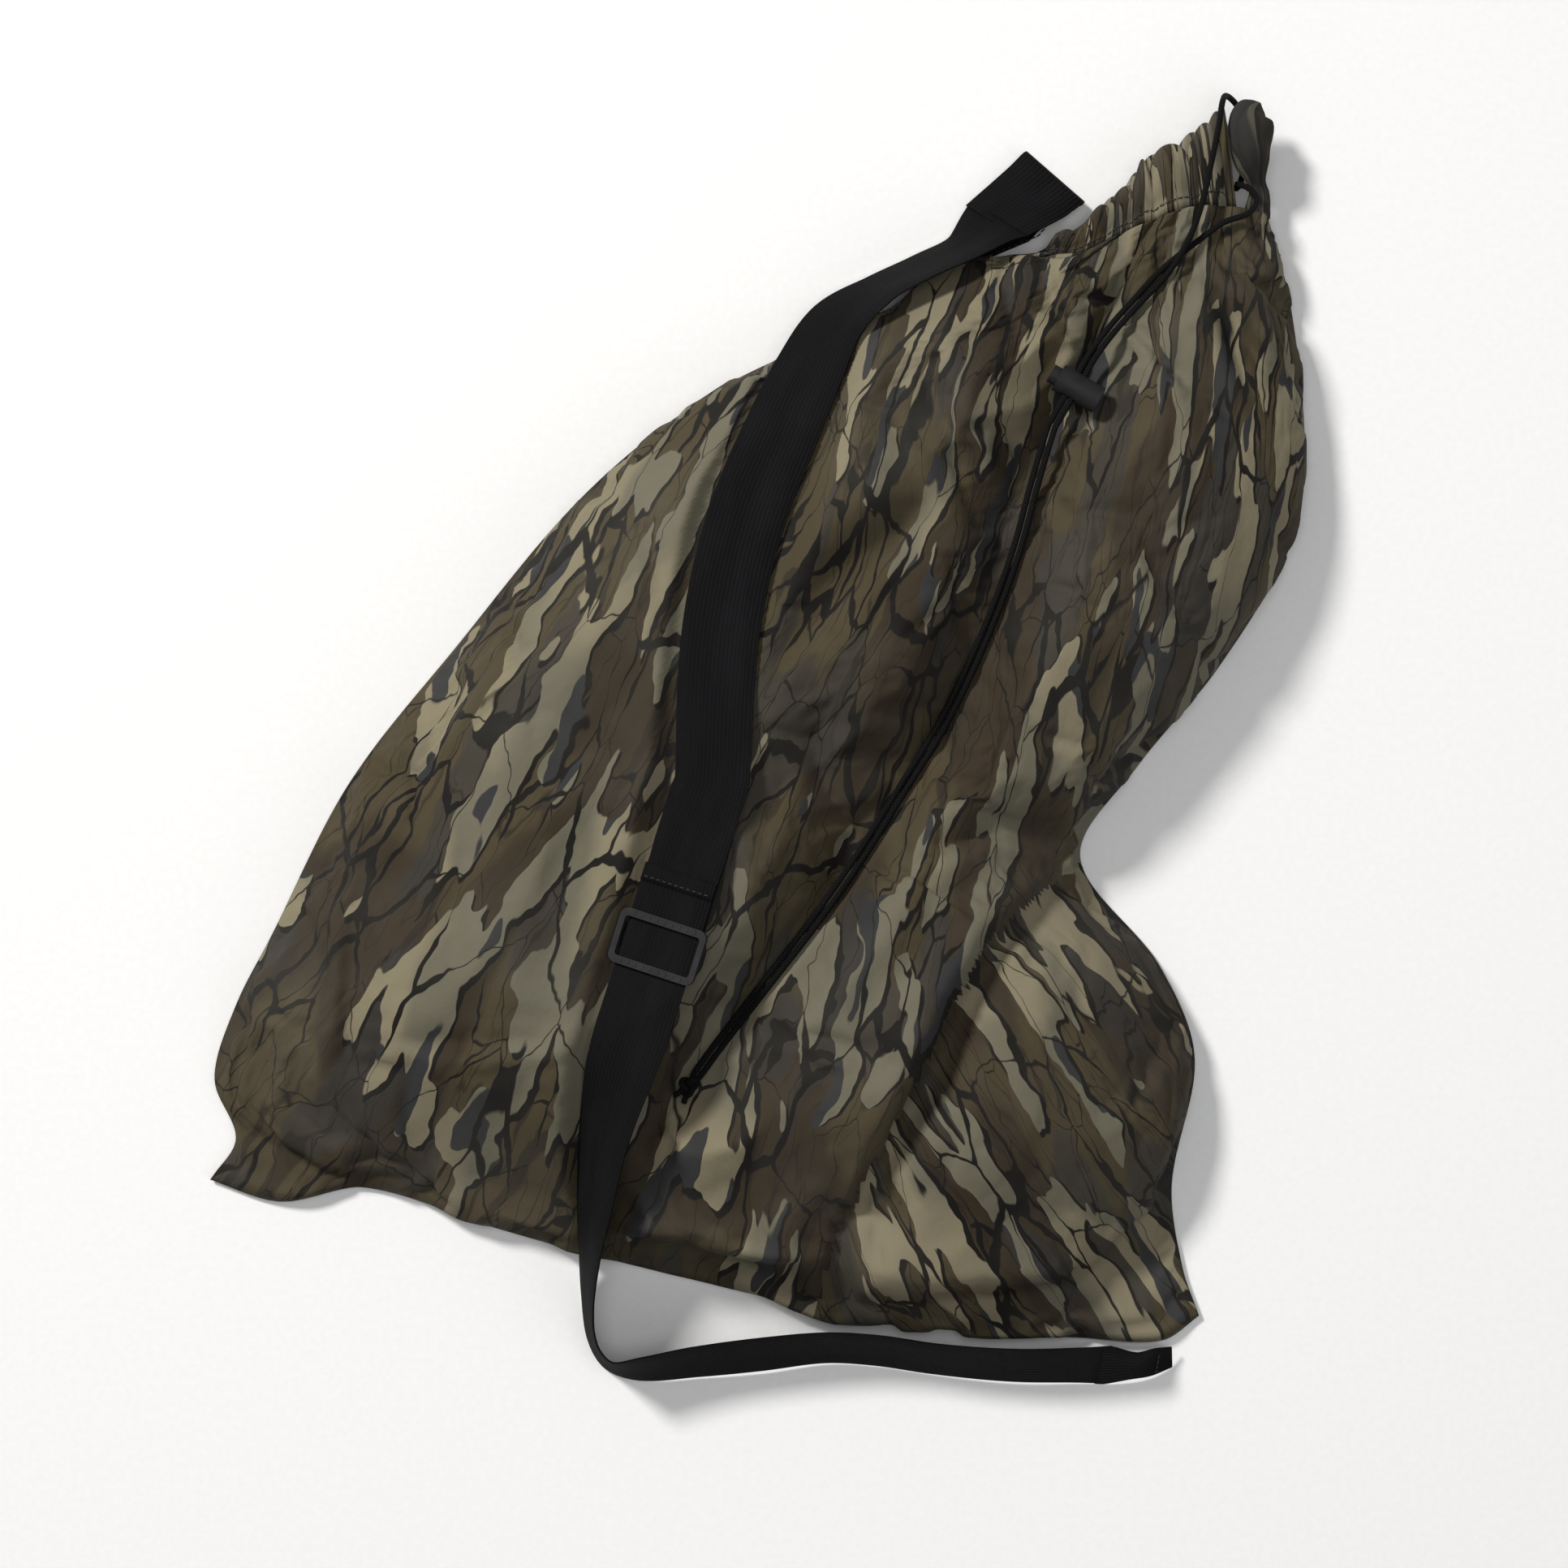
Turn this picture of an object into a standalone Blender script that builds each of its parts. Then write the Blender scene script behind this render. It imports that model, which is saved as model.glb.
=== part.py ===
"""A layout field blind packed in its drawstring carry bag, lying flat on the ground.

Two fabric panels are sewn together along the left, right and bottom edges and hold the folded
blind cover. The mouth, at the upper right, is gathered by a drawcord that runs through a hem on
each panel and leaves it at a vent, and a spring cord lock holds the two strands. A webbing
shoulder strap runs from the mouth's left end, down the front, through a three-bar slider, off
the bottom edge and back into the bottom right corner.

Metres, +Z up, z = 0 is the ground. +Y points along the bag's length and the origin is the
middle of the ground under the object.
"""

import math

import bmesh
import bpy
import numpy as np
from mathutils import Matrix, Vector

# ---- Driving dimensions -------------------------------------------------------------------

FABRIC = 0.0015  # coated bag fabric, with its inner coating
GAP = 0.0003  # clearance kept between touching pieces
SEAM_ROLL = 0.0026  # turned-in seam allowance between the two panels
CROWN_LOW = 0.010  # height of the slack strip above the bottom seam
CROWN_FULL = 0.068  # extra height over the packed blind
MOUTH_SHARE = 0.50  # height at the mouth, as a share of the full height
VALLEY_SHARE = 0.38  # depth of the diagonal fold, as a share of the height
VALLEY_WIDTH = 0.034
BUNDLE_SLACK = 0.010  # between the front panel and the packed cover under it

CORD = 0.004
STRAND_SPACING = CORD + 0.0006
WEBBING_WIDTH = 0.050
WEBBING = 0.0014

SLIDER_WIDTH = 0.060
SLIDER_LENGTH = 0.036
SLIDER_BAR = 0.005  # width of each outer bar, along the strap
CENTRE_BAR = 0.006
BAR_THICKNESS = 0.003
RAIL = 0.004
SLIDER_TRAVEL = 0.015

LOCK_RADIUS = 0.009
LOCK_BORE = 0.0066
PLUNGER_RADIUS = 0.0061
PLUNGER_TRAVEL = 0.004

# ---- The bag's outline, seen from above ---------------------------------------------------

LEFT_EDGE = [
    (-0.358, -0.283), (-0.341, -0.256), (-0.355, -0.217), (-0.341, -0.169),
    (-0.318, -0.124), (-0.267, -0.024), (-0.198, 0.064), (-0.113, 0.165),
    (-0.030, 0.231), (0.060, 0.274), (0.142, 0.312), (0.182, 0.322),
]  # fmt: skip
RIGHT_EDGE = [
    (0.289, -0.372), (0.278, -0.340), (0.271, -0.286), (0.286, -0.203),
    (0.263, -0.143), (0.211, -0.072), (0.248, -0.013), (0.302, 0.053),
    (0.350, 0.135), (0.358, 0.195), (0.349, 0.287), (0.334, 0.346),
]  # fmt: skip
BOTTOM_EDGE = [
    (-0.358, -0.283), (-0.312, -0.297), (-0.256, -0.288), (-0.172, -0.314),
    (-0.100, -0.334), (0.041, -0.367), (0.142, -0.383), (0.210, -0.386),
    (0.264, -0.388), (0.289, -0.372),
]  # fmt: skip
HEM_STITCH = [
    (0.182, 0.322), (0.208, 0.320), (0.233, 0.331), (0.258, 0.342),
    (0.283, 0.350), (0.310, 0.350), (0.334, 0.346),
]  # fmt: skip
HEM_TOP = [
    (0.190, 0.332), (0.211, 0.341), (0.226, 0.357), (0.245, 0.372),
    (0.257, 0.389), (0.278, 0.401), (0.303, 0.413), (0.327, 0.417),
]  # fmt: skip
HEM_START = 0.06  # where along the mouth the two channels start
VENT = 0.84  # and where they end
CHANNEL_REACH = 0.24  # the cord's place between the hem's stitching and its top edge
CORD_EXIT = VENT + 0.01  # where the cord held in the channels ends and the free strands start
EXIT_GAP = 0.0022  # from the held cord's middle line to the start of a free strand's

# ---- Routes: x, y, z of the middle of the piece --------------------------------------------

LOCK_PLACE = Vector((0.204, 0.231, 0.0590))
LOCK_HEADING = Vector((-0.500, -0.866, 0.150)).normalized()  # the way the strands run through

STRANDS_BELOW_LOCK = [
    (0.189, 0.205, 0.0630), (0.178, 0.168, 0.0620), (0.166, 0.124, 0.0610),
    (0.147, 0.073, 0.0620), (0.121, 0.018, 0.0605), (0.093, -0.028, 0.0600),
    (0.066, -0.071, 0.0610), (0.038, -0.111, 0.0620), (0.007, -0.151, 0.0615),
    (-0.024, -0.191, 0.0620), (-0.038, -0.210, 0.0655),
]  # fmt: skip
FRONT_STRAND_ABOVE = [
    (0.3195, 0.3620, 0.0285), (0.3240, 0.3540, 0.0330), (0.3180, 0.3450, 0.0385),
    (0.3020, 0.3390, 0.0385), (0.2850, 0.3270, 0.0375), (0.2622, 0.3089, 0.0385),
    (0.2422, 0.2874, 0.0440), (0.2270, 0.2702, 0.0510),
]  # fmt: skip
BACK_STRAND_ABOVE = [
    (0.3160, 0.3700, 0.0100), (0.3190, 0.3850, 0.0100), (0.3190, 0.4030, 0.0110),
    (0.3130, 0.4170, 0.0170), (0.3050, 0.4225, 0.0270), (0.3010, 0.4170, 0.0390),
    (0.2980, 0.4000, 0.0435), (0.2930, 0.3760, 0.0445), (0.2870, 0.3500, 0.0440),
    (0.2790, 0.3280, 0.0440), (0.2658, 0.3061, 0.0420), (0.2458, 0.2846, 0.0450),
    (0.2310, 0.2678, 0.0515),
]  # fmt: skip

SLIDER_PLACE = Vector((-0.0615, -0.127, 0.0995))
STRAP_UP = Vector((0.300, 0.954, 0.0)).normalized()  # towards the mouth, at the slider
SLIDER_ROLL = 18.0  # degrees, right side up
STRAIGHT_RUN = (0.110, 0.098, 0.050, 0.0, -0.045, -0.060)  # straight from here to here

# x, y, z and roll in degrees of the strap's middle line, from the mouth to the slider
STRAP_ABOVE = [
    (0.158, 0.345, 0.0200, 30), (0.136, 0.326, 0.0310, 60), (0.107, 0.312, 0.0320, 64),
    (0.078, 0.297, 0.0330, 60), (0.050, 0.275, 0.0370, 42), (0.033, 0.243, 0.0500, 26),
    (0.014, 0.198, 0.0720, 14), (-0.002, 0.159, 0.0800, 8), (-0.014, 0.119, 0.0850, 5),
    (-0.022, 0.078, 0.0890, 6), (-0.026, 0.036, 0.0945, 11),
]  # fmt: skip
# and from the slider off the bag's bottom edge, round the bend and along to the corner
STRAP_BELOW = [
    (-0.087, -0.208, 0.0975, 28), (-0.094, -0.234, 0.0910, 42), (-0.100, -0.262, 0.0790, 52),
    (-0.105, -0.296, 0.0590, 62), (-0.108, -0.328, 0.0460, 72), (-0.109, -0.360, 0.0310, 79),
    (-0.106, -0.386, 0.0270, 80), (-0.096, -0.401, 0.0260, 76), (-0.076, -0.404, 0.0250, 66),
    (-0.039, -0.399, 0.0240, 60), (0.001, -0.394, 0.0240, 58), (0.043, -0.390, 0.0240, 60),
    (0.078, -0.392, 0.0240, 60), (0.115, -0.3970, 0.0240, 60), (0.168, -0.4010, 0.0240, 58),
    (0.212, -0.4015, 0.0230, 56), (0.228, -0.4015, 0.0220, 54),
]  # fmt: skip

# ---- Collections, materials and small helpers ---------------------------------------------


def clear_scene():
    for old in list(bpy.data.objects):
        bpy.data.objects.remove(old, do_unlink=True)


def new_collection(name):
    made = bpy.data.collections.new(name)
    bpy.context.scene.collection.children.link(made)
    return made


def material(name, colour, roughness, metallic=0.0):
    made = bpy.data.materials.new(name)
    made.use_nodes = True
    shader = made.node_tree.nodes["Principled BSDF"]
    shader.inputs["Base Color"].default_value = (*colour, 1.0)
    shader.inputs["Roughness"].default_value = roughness
    shader.inputs["Metallic"].default_value = metallic
    return made


def smooth_step(low, high, value):
    share = min(1.0, max(0.0, (value - low) / (high - low)))
    return share * share * (3.0 - 2.0 * share)


def add_object(name, data, finish, parent=None):
    made = bpy.data.objects.new(name, data)
    PARTS.objects.link(made)
    data.materials.append(finish)
    if parent is not None:
        made.parent = parent
        made.matrix_parent_inverse = parent.matrix_world.inverted()
    return made


def add_joint_empty(name, place, parent=None):
    """An empty on a joint's axis. Its children are given in world coordinates."""
    made = bpy.data.objects.new(name, None)
    PARTS.objects.link(made)
    made.location = place
    if parent is not None:
        made.parent = parent
        made.matrix_parent_inverse = parent.matrix_world.inverted()
    bpy.context.view_layer.update()
    return made


def smooth_line(points):
    """A function from 0..1 to a smooth line through the points, by equal steps of length."""
    knots = [np.array(p, dtype=float) for p in points]
    places = [0.0]
    for before, after in zip(knots, knots[1:]):
        places.append(places[-1] + float(np.linalg.norm((after - before)[:3])))
    slopes = []
    for i in range(len(knots)):
        low = max(i - 1, 0)
        high = min(i + 1, len(knots) - 1)
        slopes.append((knots[high] - knots[low]) / (places[high] - places[low]))

    def at(share):
        want = min(max(share, 0.0), 1.0) * places[-1]
        i = 0
        while i < len(knots) - 2 and want > places[i + 1]:
            i += 1
        step = places[i + 1] - places[i]
        t = (want - places[i]) / step
        rise = t * t * (3.0 - 2.0 * t)
        lead = t * (1.0 - t) * (1.0 - t)
        trail = t * t * (t - 1.0)
        return (
            knots[i] * (1.0 - rise)
            + knots[i + 1] * rise
            + (slopes[i] * lead + slopes[i + 1] * trail) * step
        )

    at.length = places[-1]
    return at


def shade_smooth(mesh, angle=50.0):
    mesh.shade_smooth()
    mesh.set_sharp_from_angle(angle=math.radians(angle))


def mapped_sheet(name, across, along, place, thickness, finish, offset=0.0, parent=None):
    """A grid whose points are placed by place(a, b), a and b from 0 to 1, then thickened."""
    mesh = bpy.data.meshes.new(name)
    grid = bmesh.new()
    bmesh.ops.create_grid(grid, x_segments=across, y_segments=along, size=0.5)
    for vertex in grid.verts:
        vertex.co = place(vertex.co.x + 0.5, vertex.co.y + 0.5)
    grid.to_mesh(mesh)
    grid.free()
    shade_smooth(mesh)
    made = add_object(name, mesh, finish, parent)
    thick = made.modifiers.new("thickness", "SOLIDIFY")
    thick.thickness = thickness
    thick.offset = offset
    return made


def tube(name, points, diameter, finish, sides=2, parent=None, closed=False):
    """A round cord or thread through the points, with flat ends unless it is closed."""
    curve = bpy.data.curves.new(name, "CURVE")
    curve.dimensions = "3D"
    line = curve.splines.new("POLY")
    line.points.add(len(points) - 1)
    for knot, place in zip(line.points, points):
        knot.co = (*place, 1.0)
    line.use_cyclic_u = closed
    curve.bevel_depth = diameter / 2
    curve.bevel_resolution = sides
    curve.use_fill_caps = not closed
    return add_object(name, curve, finish, parent)


def cut(piece, cutter):
    """Subtract the cutter from the piece."""
    CUTTERS.objects.link(cutter)
    cutter.hide_render = True
    cutter.display_type = "WIRE"
    taken = piece.modifiers.new("cut " + cutter.name, "BOOLEAN")
    taken.operation = "DIFFERENCE"
    taken.object = cutter


def join(piece, addition):
    """Union the addition, which stays as a guide, into the piece."""
    CUTTERS.objects.link(addition)
    addition.hide_render = True
    addition.display_type = "WIRE"
    added = piece.modifiers.new("join " + addition.name, "BOOLEAN")
    added.operation = "UNION"
    added.object = addition


def box_mesh(name, size, place, frame=None):
    """A box of the given size whose middle is at place, turned by a 4 x 4 frame."""
    mesh = bpy.data.meshes.new(name)
    solid = bmesh.new()
    bmesh.ops.create_cube(solid, size=1.0)
    bmesh.ops.scale(solid, vec=size, verts=solid.verts)
    bmesh.ops.translate(solid, vec=place, verts=solid.verts)
    if frame is not None:
        bmesh.ops.transform(solid, matrix=frame, verts=solid.verts)
    solid.to_mesh(mesh)
    solid.free()
    return mesh


def cylinder_mesh(name, radius, low, high, segments=28):
    """A capped cylinder along +X from x = low to x = high."""
    mesh = bpy.data.meshes.new(name)
    solid = bmesh.new()
    bmesh.ops.create_cone(
        solid, cap_ends=True, segments=segments, radius1=radius, radius2=radius, depth=high - low
    )
    turn = Matrix.Translation(((low + high) / 2, 0, 0)) @ Matrix.Rotation(math.pi / 2, 4, "Y")
    bmesh.ops.transform(solid, matrix=turn, verts=solid.verts)
    solid.to_mesh(mesh)
    solid.free()
    return mesh


# ---- The bag's shape ----------------------------------------------------------------------

left_edge = smooth_line(LEFT_EDGE)
right_edge = smooth_line(RIGHT_EDGE)
bottom_edge = smooth_line(BOTTOM_EDGE)
hem_stitch = smooth_line(HEM_STITCH)
hem_top = smooth_line(HEM_TOP)
valley_line = smooth_line([point[:2] for point in FRONT_STRAND_ABOVE[4:] + STRANDS_BELOW_LOCK])
VALLEY_POINTS = [valley_line(i / 90) for i in range(91)]


def bag_point(a, b):
    """The place in plan of a point of either panel: a runs left to right, b bottom to mouth."""
    sides = left_edge(b) * (1 - a) + right_edge(b) * a
    ends = bottom_edge(a) * (1 - b) + hem_stitch(a) * b
    corners = (
        bottom_edge(0) * (1 - a) * (1 - b)
        + bottom_edge(1) * a * (1 - b)
        + hem_stitch(0) * (1 - a) * b
        + hem_stitch(1) * a * b
    )
    return sides + ends - corners


EDGE_TOP = 3 * GAP + SEAM_ROLL + 2 * FABRIC  # the front panel's upper face at a seam


def crown(a, b):
    """How far the front panel stands above its own seam."""
    swell = 1.0 - abs(2 * a - 1) ** 3
    fullness = CROWN_LOW + CROWN_FULL * smooth_step(0.02, 0.17, b)
    fullness *= 1.0 - (1.0 - MOUTH_SHARE) * smooth_step(0.62, 1.0, b)
    place = bag_point(a, b)
    away = min(float(np.linalg.norm(place - p)) for p in VALLEY_POINTS)
    fold = 1.0 - VALLEY_SHARE * math.exp(-((away / VALLEY_WIDTH) ** 2))
    return fullness * max(swell, 0.0) ** 0.62 * fold


def make_panels(fabric):
    def front(a, b):
        x, y = bag_point(a, b * 0.992)
        return Vector((x, y, EDGE_TOP + crown(a, b)))

    def back(a, b):
        x, y = bag_point(a, b * 0.992)
        return Vector((x, y, FABRIC))

    mapped_sheet("front_panel", 24, 30, front, FABRIC, fabric, offset=-1.0)
    mapped_sheet("back_panel", 10, 24, back, FABRIC, fabric, offset=-1.0)


def make_seams(thread):
    """The folded allowances, inside the bag, that hold the two panels together."""
    height = FABRIC + GAP + SEAM_ROLL / 2
    inset = 0.008
    panel_width = 0.65

    def lay(name, a_of, b_of, steps):
        points = []
        for i in range(steps + 1):
            share = i / steps
            x, y = bag_point(a_of(share), b_of(share))
            points.append((x, y, height))
        tube(name, points, SEAM_ROLL, thread)

    inset_share = inset / panel_width
    lay("left_side_seam", lambda t: inset_share * (1 + t), lambda t: 0.02 + 0.95 * t, 40)
    lay("right_side_seam", lambda t: 1 - inset_share * (1 + t), lambda t: 0.02 + 0.95 * t, 44)
    lay("bottom_seam", lambda t: 0.02 + 0.96 * t, lambda t: 0.011, 30)


def make_bundle(cloth):
    """The folded blind cover that fills the bag, a closed form inside the two panels."""
    mesh = bpy.data.meshes.new("folded_blind_cover")
    solid = bmesh.new()
    bmesh.ops.create_cube(solid, size=1.0)
    bmesh.ops.subdivide_edges(solid, edges=solid.edges[:], cuts=11, use_grid_fill=True)
    floor = FABRIC + 2 * GAP
    for vertex in solid.verts:
        a = 0.5 + 0.72 * vertex.co.x
        b = 0.50 + 0.66 * vertex.co.y
        x, y = bag_point(a, b)
        roof = EDGE_TOP + crown(a, b) - FABRIC - BUNDLE_SLACK
        vertex.co = Vector((x, y, floor + (roof - floor) * (vertex.co.z + 0.5)))
    solid.to_mesh(mesh)
    solid.free()
    shade_smooth(mesh)
    add_object("folded_blind_cover", mesh, cloth)


# ---- The gathered mouth -------------------------------------------------------------------


def hem_half(a):
    """Half the thickness of one gathered hem: thin at the mouth's ends, full in the middle."""
    return 0.0050 + 0.0042 * (1.0 - abs(2 * a - 1) ** 4)


def hem_point(a, turn, middle):
    """A point of a hem: turn goes 0..1 from the outer face, over the top edge, to the inner."""
    angle = math.pi * turn
    reach = math.sin(angle) ** 0.8
    puff = 1.0 + 0.10 * math.sin(12 * math.pi * a)
    x, y = hem_stitch(a) + (hem_top(a) - hem_stitch(a)) * (0.03 + 0.97 * reach * puff / 1.1)
    half = hem_half(a) * (0.42 + 0.50 * math.sin(2 * min(angle, math.pi - angle)))
    sign = math.tanh(6 * (0.5 - turn))
    return Vector((x, y, middle + half * sign))


def front_middle(a):
    return 3 * hem_half(a) + 0.0018


def back_middle(a):
    return hem_half(a) + 0.0008


def make_hems(fabric, thread):
    for name, middle in (("mouth_hem_front", front_middle), ("mouth_hem_back", back_middle)):

        def place(a, turn, middle=middle):
            a = HEM_START + (VENT - HEM_START) * a
            return hem_point(a, turn, middle(a))

        mapped_sheet(name, 26, 13, place, FABRIC * 0.8, fabric)
    for name, middle, turn, lift in (
        ("front_hem_stitching", front_middle, 0.05, 1),
        ("back_hem_stitching", back_middle, 0.95, -1),
    ):
        points = []
        for i in range(31):
            a = 0.08 + (VENT - 0.10) * i / 30
            points.append(hem_point(a, turn, middle(a)) + Vector((0, 0, 0.0017 * lift)))
        tube(name, points, 0.0010, thread, sides=1)


def make_vent_flap(fabric):
    """The end of the front panel beyond the vent, puffed up over the cord's way out."""
    mesh = bpy.data.meshes.new("vent_flap")
    solid = bmesh.new()
    bmesh.ops.create_uvsphere(solid, u_segments=20, v_segments=12, radius=1.0)
    lean = Matrix.Rotation(math.radians(-8), 4, "Z")
    for vertex in solid.verts:
        taper = 1.0 - 0.25 * abs(vertex.co.y) ** 2
        shaped = Vector((vertex.co.x * 0.0135 * taper, vertex.co.y * 0.0255, vertex.co.z * 0.0115))
        vertex.co = lean @ shaped + Vector((0.3200, 0.3915, 0.0330))
    solid.to_mesh(mesh)
    solid.free()
    shade_smooth(mesh)
    add_object("vent_flap", mesh, fabric)


# ---- Drawcord and cord lock ---------------------------------------------------------------


def channel_point(a, middle):
    """The middle of the cord inside a hem."""
    x, y = hem_stitch(a) + (hem_top(a) - hem_stitch(a)) * CHANNEL_REACH
    return Vector((x, y, middle(a)))


def make_drawcord(cord):
    """The stretch that both hems hold: along the front channel, round the left, and back."""
    inner = HEM_START - 0.01
    run = CORD_EXIT - inner
    front = [channel_point(CORD_EXIT - run * i / 24, front_middle) for i in range(25)]
    back = [channel_point(inner + run * i / 24, back_middle) for i in range(25)]
    start = front[-1]
    end = back[0]
    bend = [
        start + Vector((-0.0062, -0.0030, -0.0012)),
        (start + end) / 2 + Vector((-0.0100, -0.0045, 0.0)),
        end + Vector((-0.0070, -0.0034, 0.0012)),
    ]
    line = smooth_line(front + bend + back)
    tube("drawcord_in_hem", [line(i / 75) for i in range(76)], CORD, cord)


def exit_start(middle):
    """A free strand's first two points, straight on from the end of the cord in its channel."""
    end = channel_point(CORD_EXIT, middle)
    onward = (end - channel_point(CORD_EXIT - 0.02, middle)).normalized()
    return [end + onward * EXIT_GAP, end + onward * 0.0050]


def strand_route(above, side):
    """One strand from the vent through the lock and down the fold, beside the other."""
    across = LOCK_HEADING.cross(Vector((0, 0, 1))).normalized()
    lock_run = [LOCK_PLACE - LOCK_HEADING * reach for reach in (0.024, 0.008, -0.008, -0.024)]
    pair = [Vector(point) for point in STRANDS_BELOW_LOCK]
    route = exit_start(front_middle if side > 0 else back_middle)
    route += [Vector(point) for point in above]
    route += [point + across * side * STRAND_SPACING / 2 for point in lock_run]
    for i, point in enumerate(pair):
        ahead = pair[min(i + 1, len(pair) - 1)]
        behind = pair[i - 1] if i else LOCK_PLACE
        sideways = (ahead - behind).cross(Vector((0, 0, 1))).normalized()
        route.append(point + sideways * side * STRAND_SPACING / 2)
    return route


def make_strands(cord):
    for name, above, side in (
        ("drawcord_strand_front", FRONT_STRAND_ABOVE, 1),
        ("drawcord_strand_back", BACK_STRAND_ABOVE, -1),
    ):
        line = smooth_line(strand_route(above, side))
        steps = 76
        tube(name, [line(i / steps) for i in range(steps + 1)], CORD, cord)


def make_knot(cord):
    """The overhand knot that ties the two strands' ends, just past the end of the route."""
    end = Vector(STRANDS_BELOW_LOCK[-1])
    heading = (end - Vector(STRANDS_BELOW_LOCK[-2])).normalized()
    mesh = bpy.data.meshes.new("cord_end_knot")
    solid = bmesh.new()
    bmesh.ops.create_uvsphere(solid, u_segments=16, v_segments=10, radius=0.0065)
    bmesh.ops.scale(solid, vec=(1.25, 1.0, 0.85), verts=solid.verts)
    turn = heading.to_track_quat("X", "Z").to_matrix().to_4x4()
    place = Matrix.Translation(end + heading * 0.0092 + Vector((0, 0, 0.0015))) @ turn
    bmesh.ops.transform(solid, matrix=place, verts=solid.verts)
    solid.to_mesh(mesh)
    solid.free()
    shade_smooth(mesh)
    add_object("cord_end_knot", mesh, cord)


def lock_frame():
    """The lock's own frame: X along the plunger, Y down the strands, Z up."""
    along = LOCK_HEADING.cross(Vector((0, 0, 1))).normalized()
    turn = Matrix((along, LOCK_HEADING, along.cross(LOCK_HEADING))).transposed().to_4x4()
    return Matrix.Translation(LOCK_PLACE) @ turn


BODY_LOW, BODY_HIGH = -0.0180, 0.0120
BORE_FLOOR = -0.0150
HOLE_HALF = 0.0048
PLUNGER_LOW, PLUNGER_HIGH = -0.0070, 0.0175


def make_cord_lock(plastic, steel):
    slide = add_joint_empty("cord_lock_slide_axis", LOCK_PLACE)
    press = add_joint_empty("cord_lock_press_axis", LOCK_PLACE, slide)
    frame = lock_frame()

    body_mesh = cylinder_mesh("cord_lock_body", LOCK_RADIUS, BODY_LOW, BODY_HIGH, 32)
    bore = cylinder_mesh("lock_bore", LOCK_BORE, BORE_FLOOR, BODY_HIGH + 0.002, 32)
    hole = box_mesh("lock_hole", (2 * HOLE_HALF, 0.030, CORD + 0.0012), (0, 0, 0))
    body_mesh.transform(frame)
    shade_smooth(body_mesh, 40)
    body = add_object("cord_lock_body", body_mesh, plastic, slide)
    for cutter_mesh in (bore, hole):
        cutter_mesh.transform(frame)
        cut(body, bpy.data.objects.new(cutter_mesh.name, cutter_mesh))

    plunger_mesh = cylinder_mesh(
        "cord_lock_plunger", PLUNGER_RADIUS, PLUNGER_LOW, PLUNGER_HIGH, 28
    )
    plunger_mesh.transform(frame)
    shade_smooth(plunger_mesh, 40)
    plunger = add_object("cord_lock_plunger", plunger_mesh, plastic, press)
    slot_size = (2 * HOLE_HALF + PLUNGER_TRAVEL, 0.030, CORD + 0.0012)
    slot = box_mesh("plunger_slot", slot_size, (PLUNGER_TRAVEL / 2, 0, 0), frame)
    cut(plunger, bpy.data.objects.new("plunger_slot", slot))

    turns, per_turn = 4, 12
    low = BORE_FLOOR + 0.0008
    rise = PLUNGER_LOW - GAP - 0.0005 - low
    points = []
    for i in range(turns * per_turn + 1):
        angle = 2 * math.pi * i / per_turn
        share = i / (turns * per_turn)
        local = Vector((low + rise * share, 0.0045 * math.cos(angle), 0.0045 * math.sin(angle)))
        points.append(frame @ local)
    tube("cord_lock_spring", points, 0.0007, steel, sides=1, parent=slide)


# ---- Shoulder strap -----------------------------------------------------------------------


def strap_rows():
    straight = []
    for reach in STRAIGHT_RUN:
        place = SLIDER_PLACE + STRAP_UP * reach
        straight.append((*place, SLIDER_ROLL))
    return STRAP_ABOVE + straight + STRAP_BELOW


strap_line = smooth_line(strap_rows())
STRAP_LENGTH = strap_line.length
SLIDER_STATION = smooth_line(strap_rows()[: len(STRAP_ABOVE) + STRAIGHT_RUN.index(0.0) + 1]).length


def strap_frame(station):
    """Middle, across and outward directions of the strap, at a length from its mouth end."""
    share = station / STRAP_LENGTH
    here = strap_line(share)
    step = 0.002 / STRAP_LENGTH
    run = Vector(strap_line(share + step)[:3]) - Vector(strap_line(share - step)[:3])
    run.normalize()
    level = Vector((0, 0, 1)).cross(run).normalized()
    up = run.cross(level)
    roll = math.radians(float(here[3]))
    across = level * math.cos(roll) + up * math.sin(roll)
    return Vector(here[:3]), across, run.cross(across)


def webbing_run(name, start, end, layer, finish, parent, rows):
    """Flat webbing along the strap's line from one station to another, on one layer."""

    def place(a, b):
        middle, across, outward = strap_frame(start + (end - start) * b)
        return middle + across * (a - 0.5) * WEBBING_WIDTH + outward * layer

    return mapped_sheet(name, 2, rows, place, WEBBING, finish, parent=parent)


LOWER_LAYER = WEBBING / 2
UPPER_LAYER = -GAP - WEBBING / 2
TAIL_ABOVE = 0.049
LOOP_FRONT_END = 0.040
UPPER_START = LOOP_FRONT_END + SLIDER_TRAVEL + 0.0015
LOOP_BACK_END = 0.080

SWING_TOP = Vector((0.160, 0.345, 0.030))
SWING_BOTTOM = Vector((0.246, -0.402, 0.030))


def make_strap(webbing, thread, plastic):
    swing = add_joint_empty("strap_swing_axis", (SWING_TOP + SWING_BOTTOM) / 2)
    slide = add_joint_empty("slider_slide_axis", SLIDER_PLACE, swing)
    upper_end = SLIDER_STATION - UPPER_START
    tail_end = SLIDER_STATION - TAIL_ABOVE
    webbing_run("strap_upper_webbing", 0.0, upper_end, UPPER_LAYER, webbing, swing, 46)
    webbing_run("strap_lower_webbing", tail_end, STRAP_LENGTH, LOWER_LAYER, webbing, swing, 64)
    make_slider(plastic, slide)
    make_loop(webbing, thread, slide)
    make_tail_stitching(thread, swing)


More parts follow.
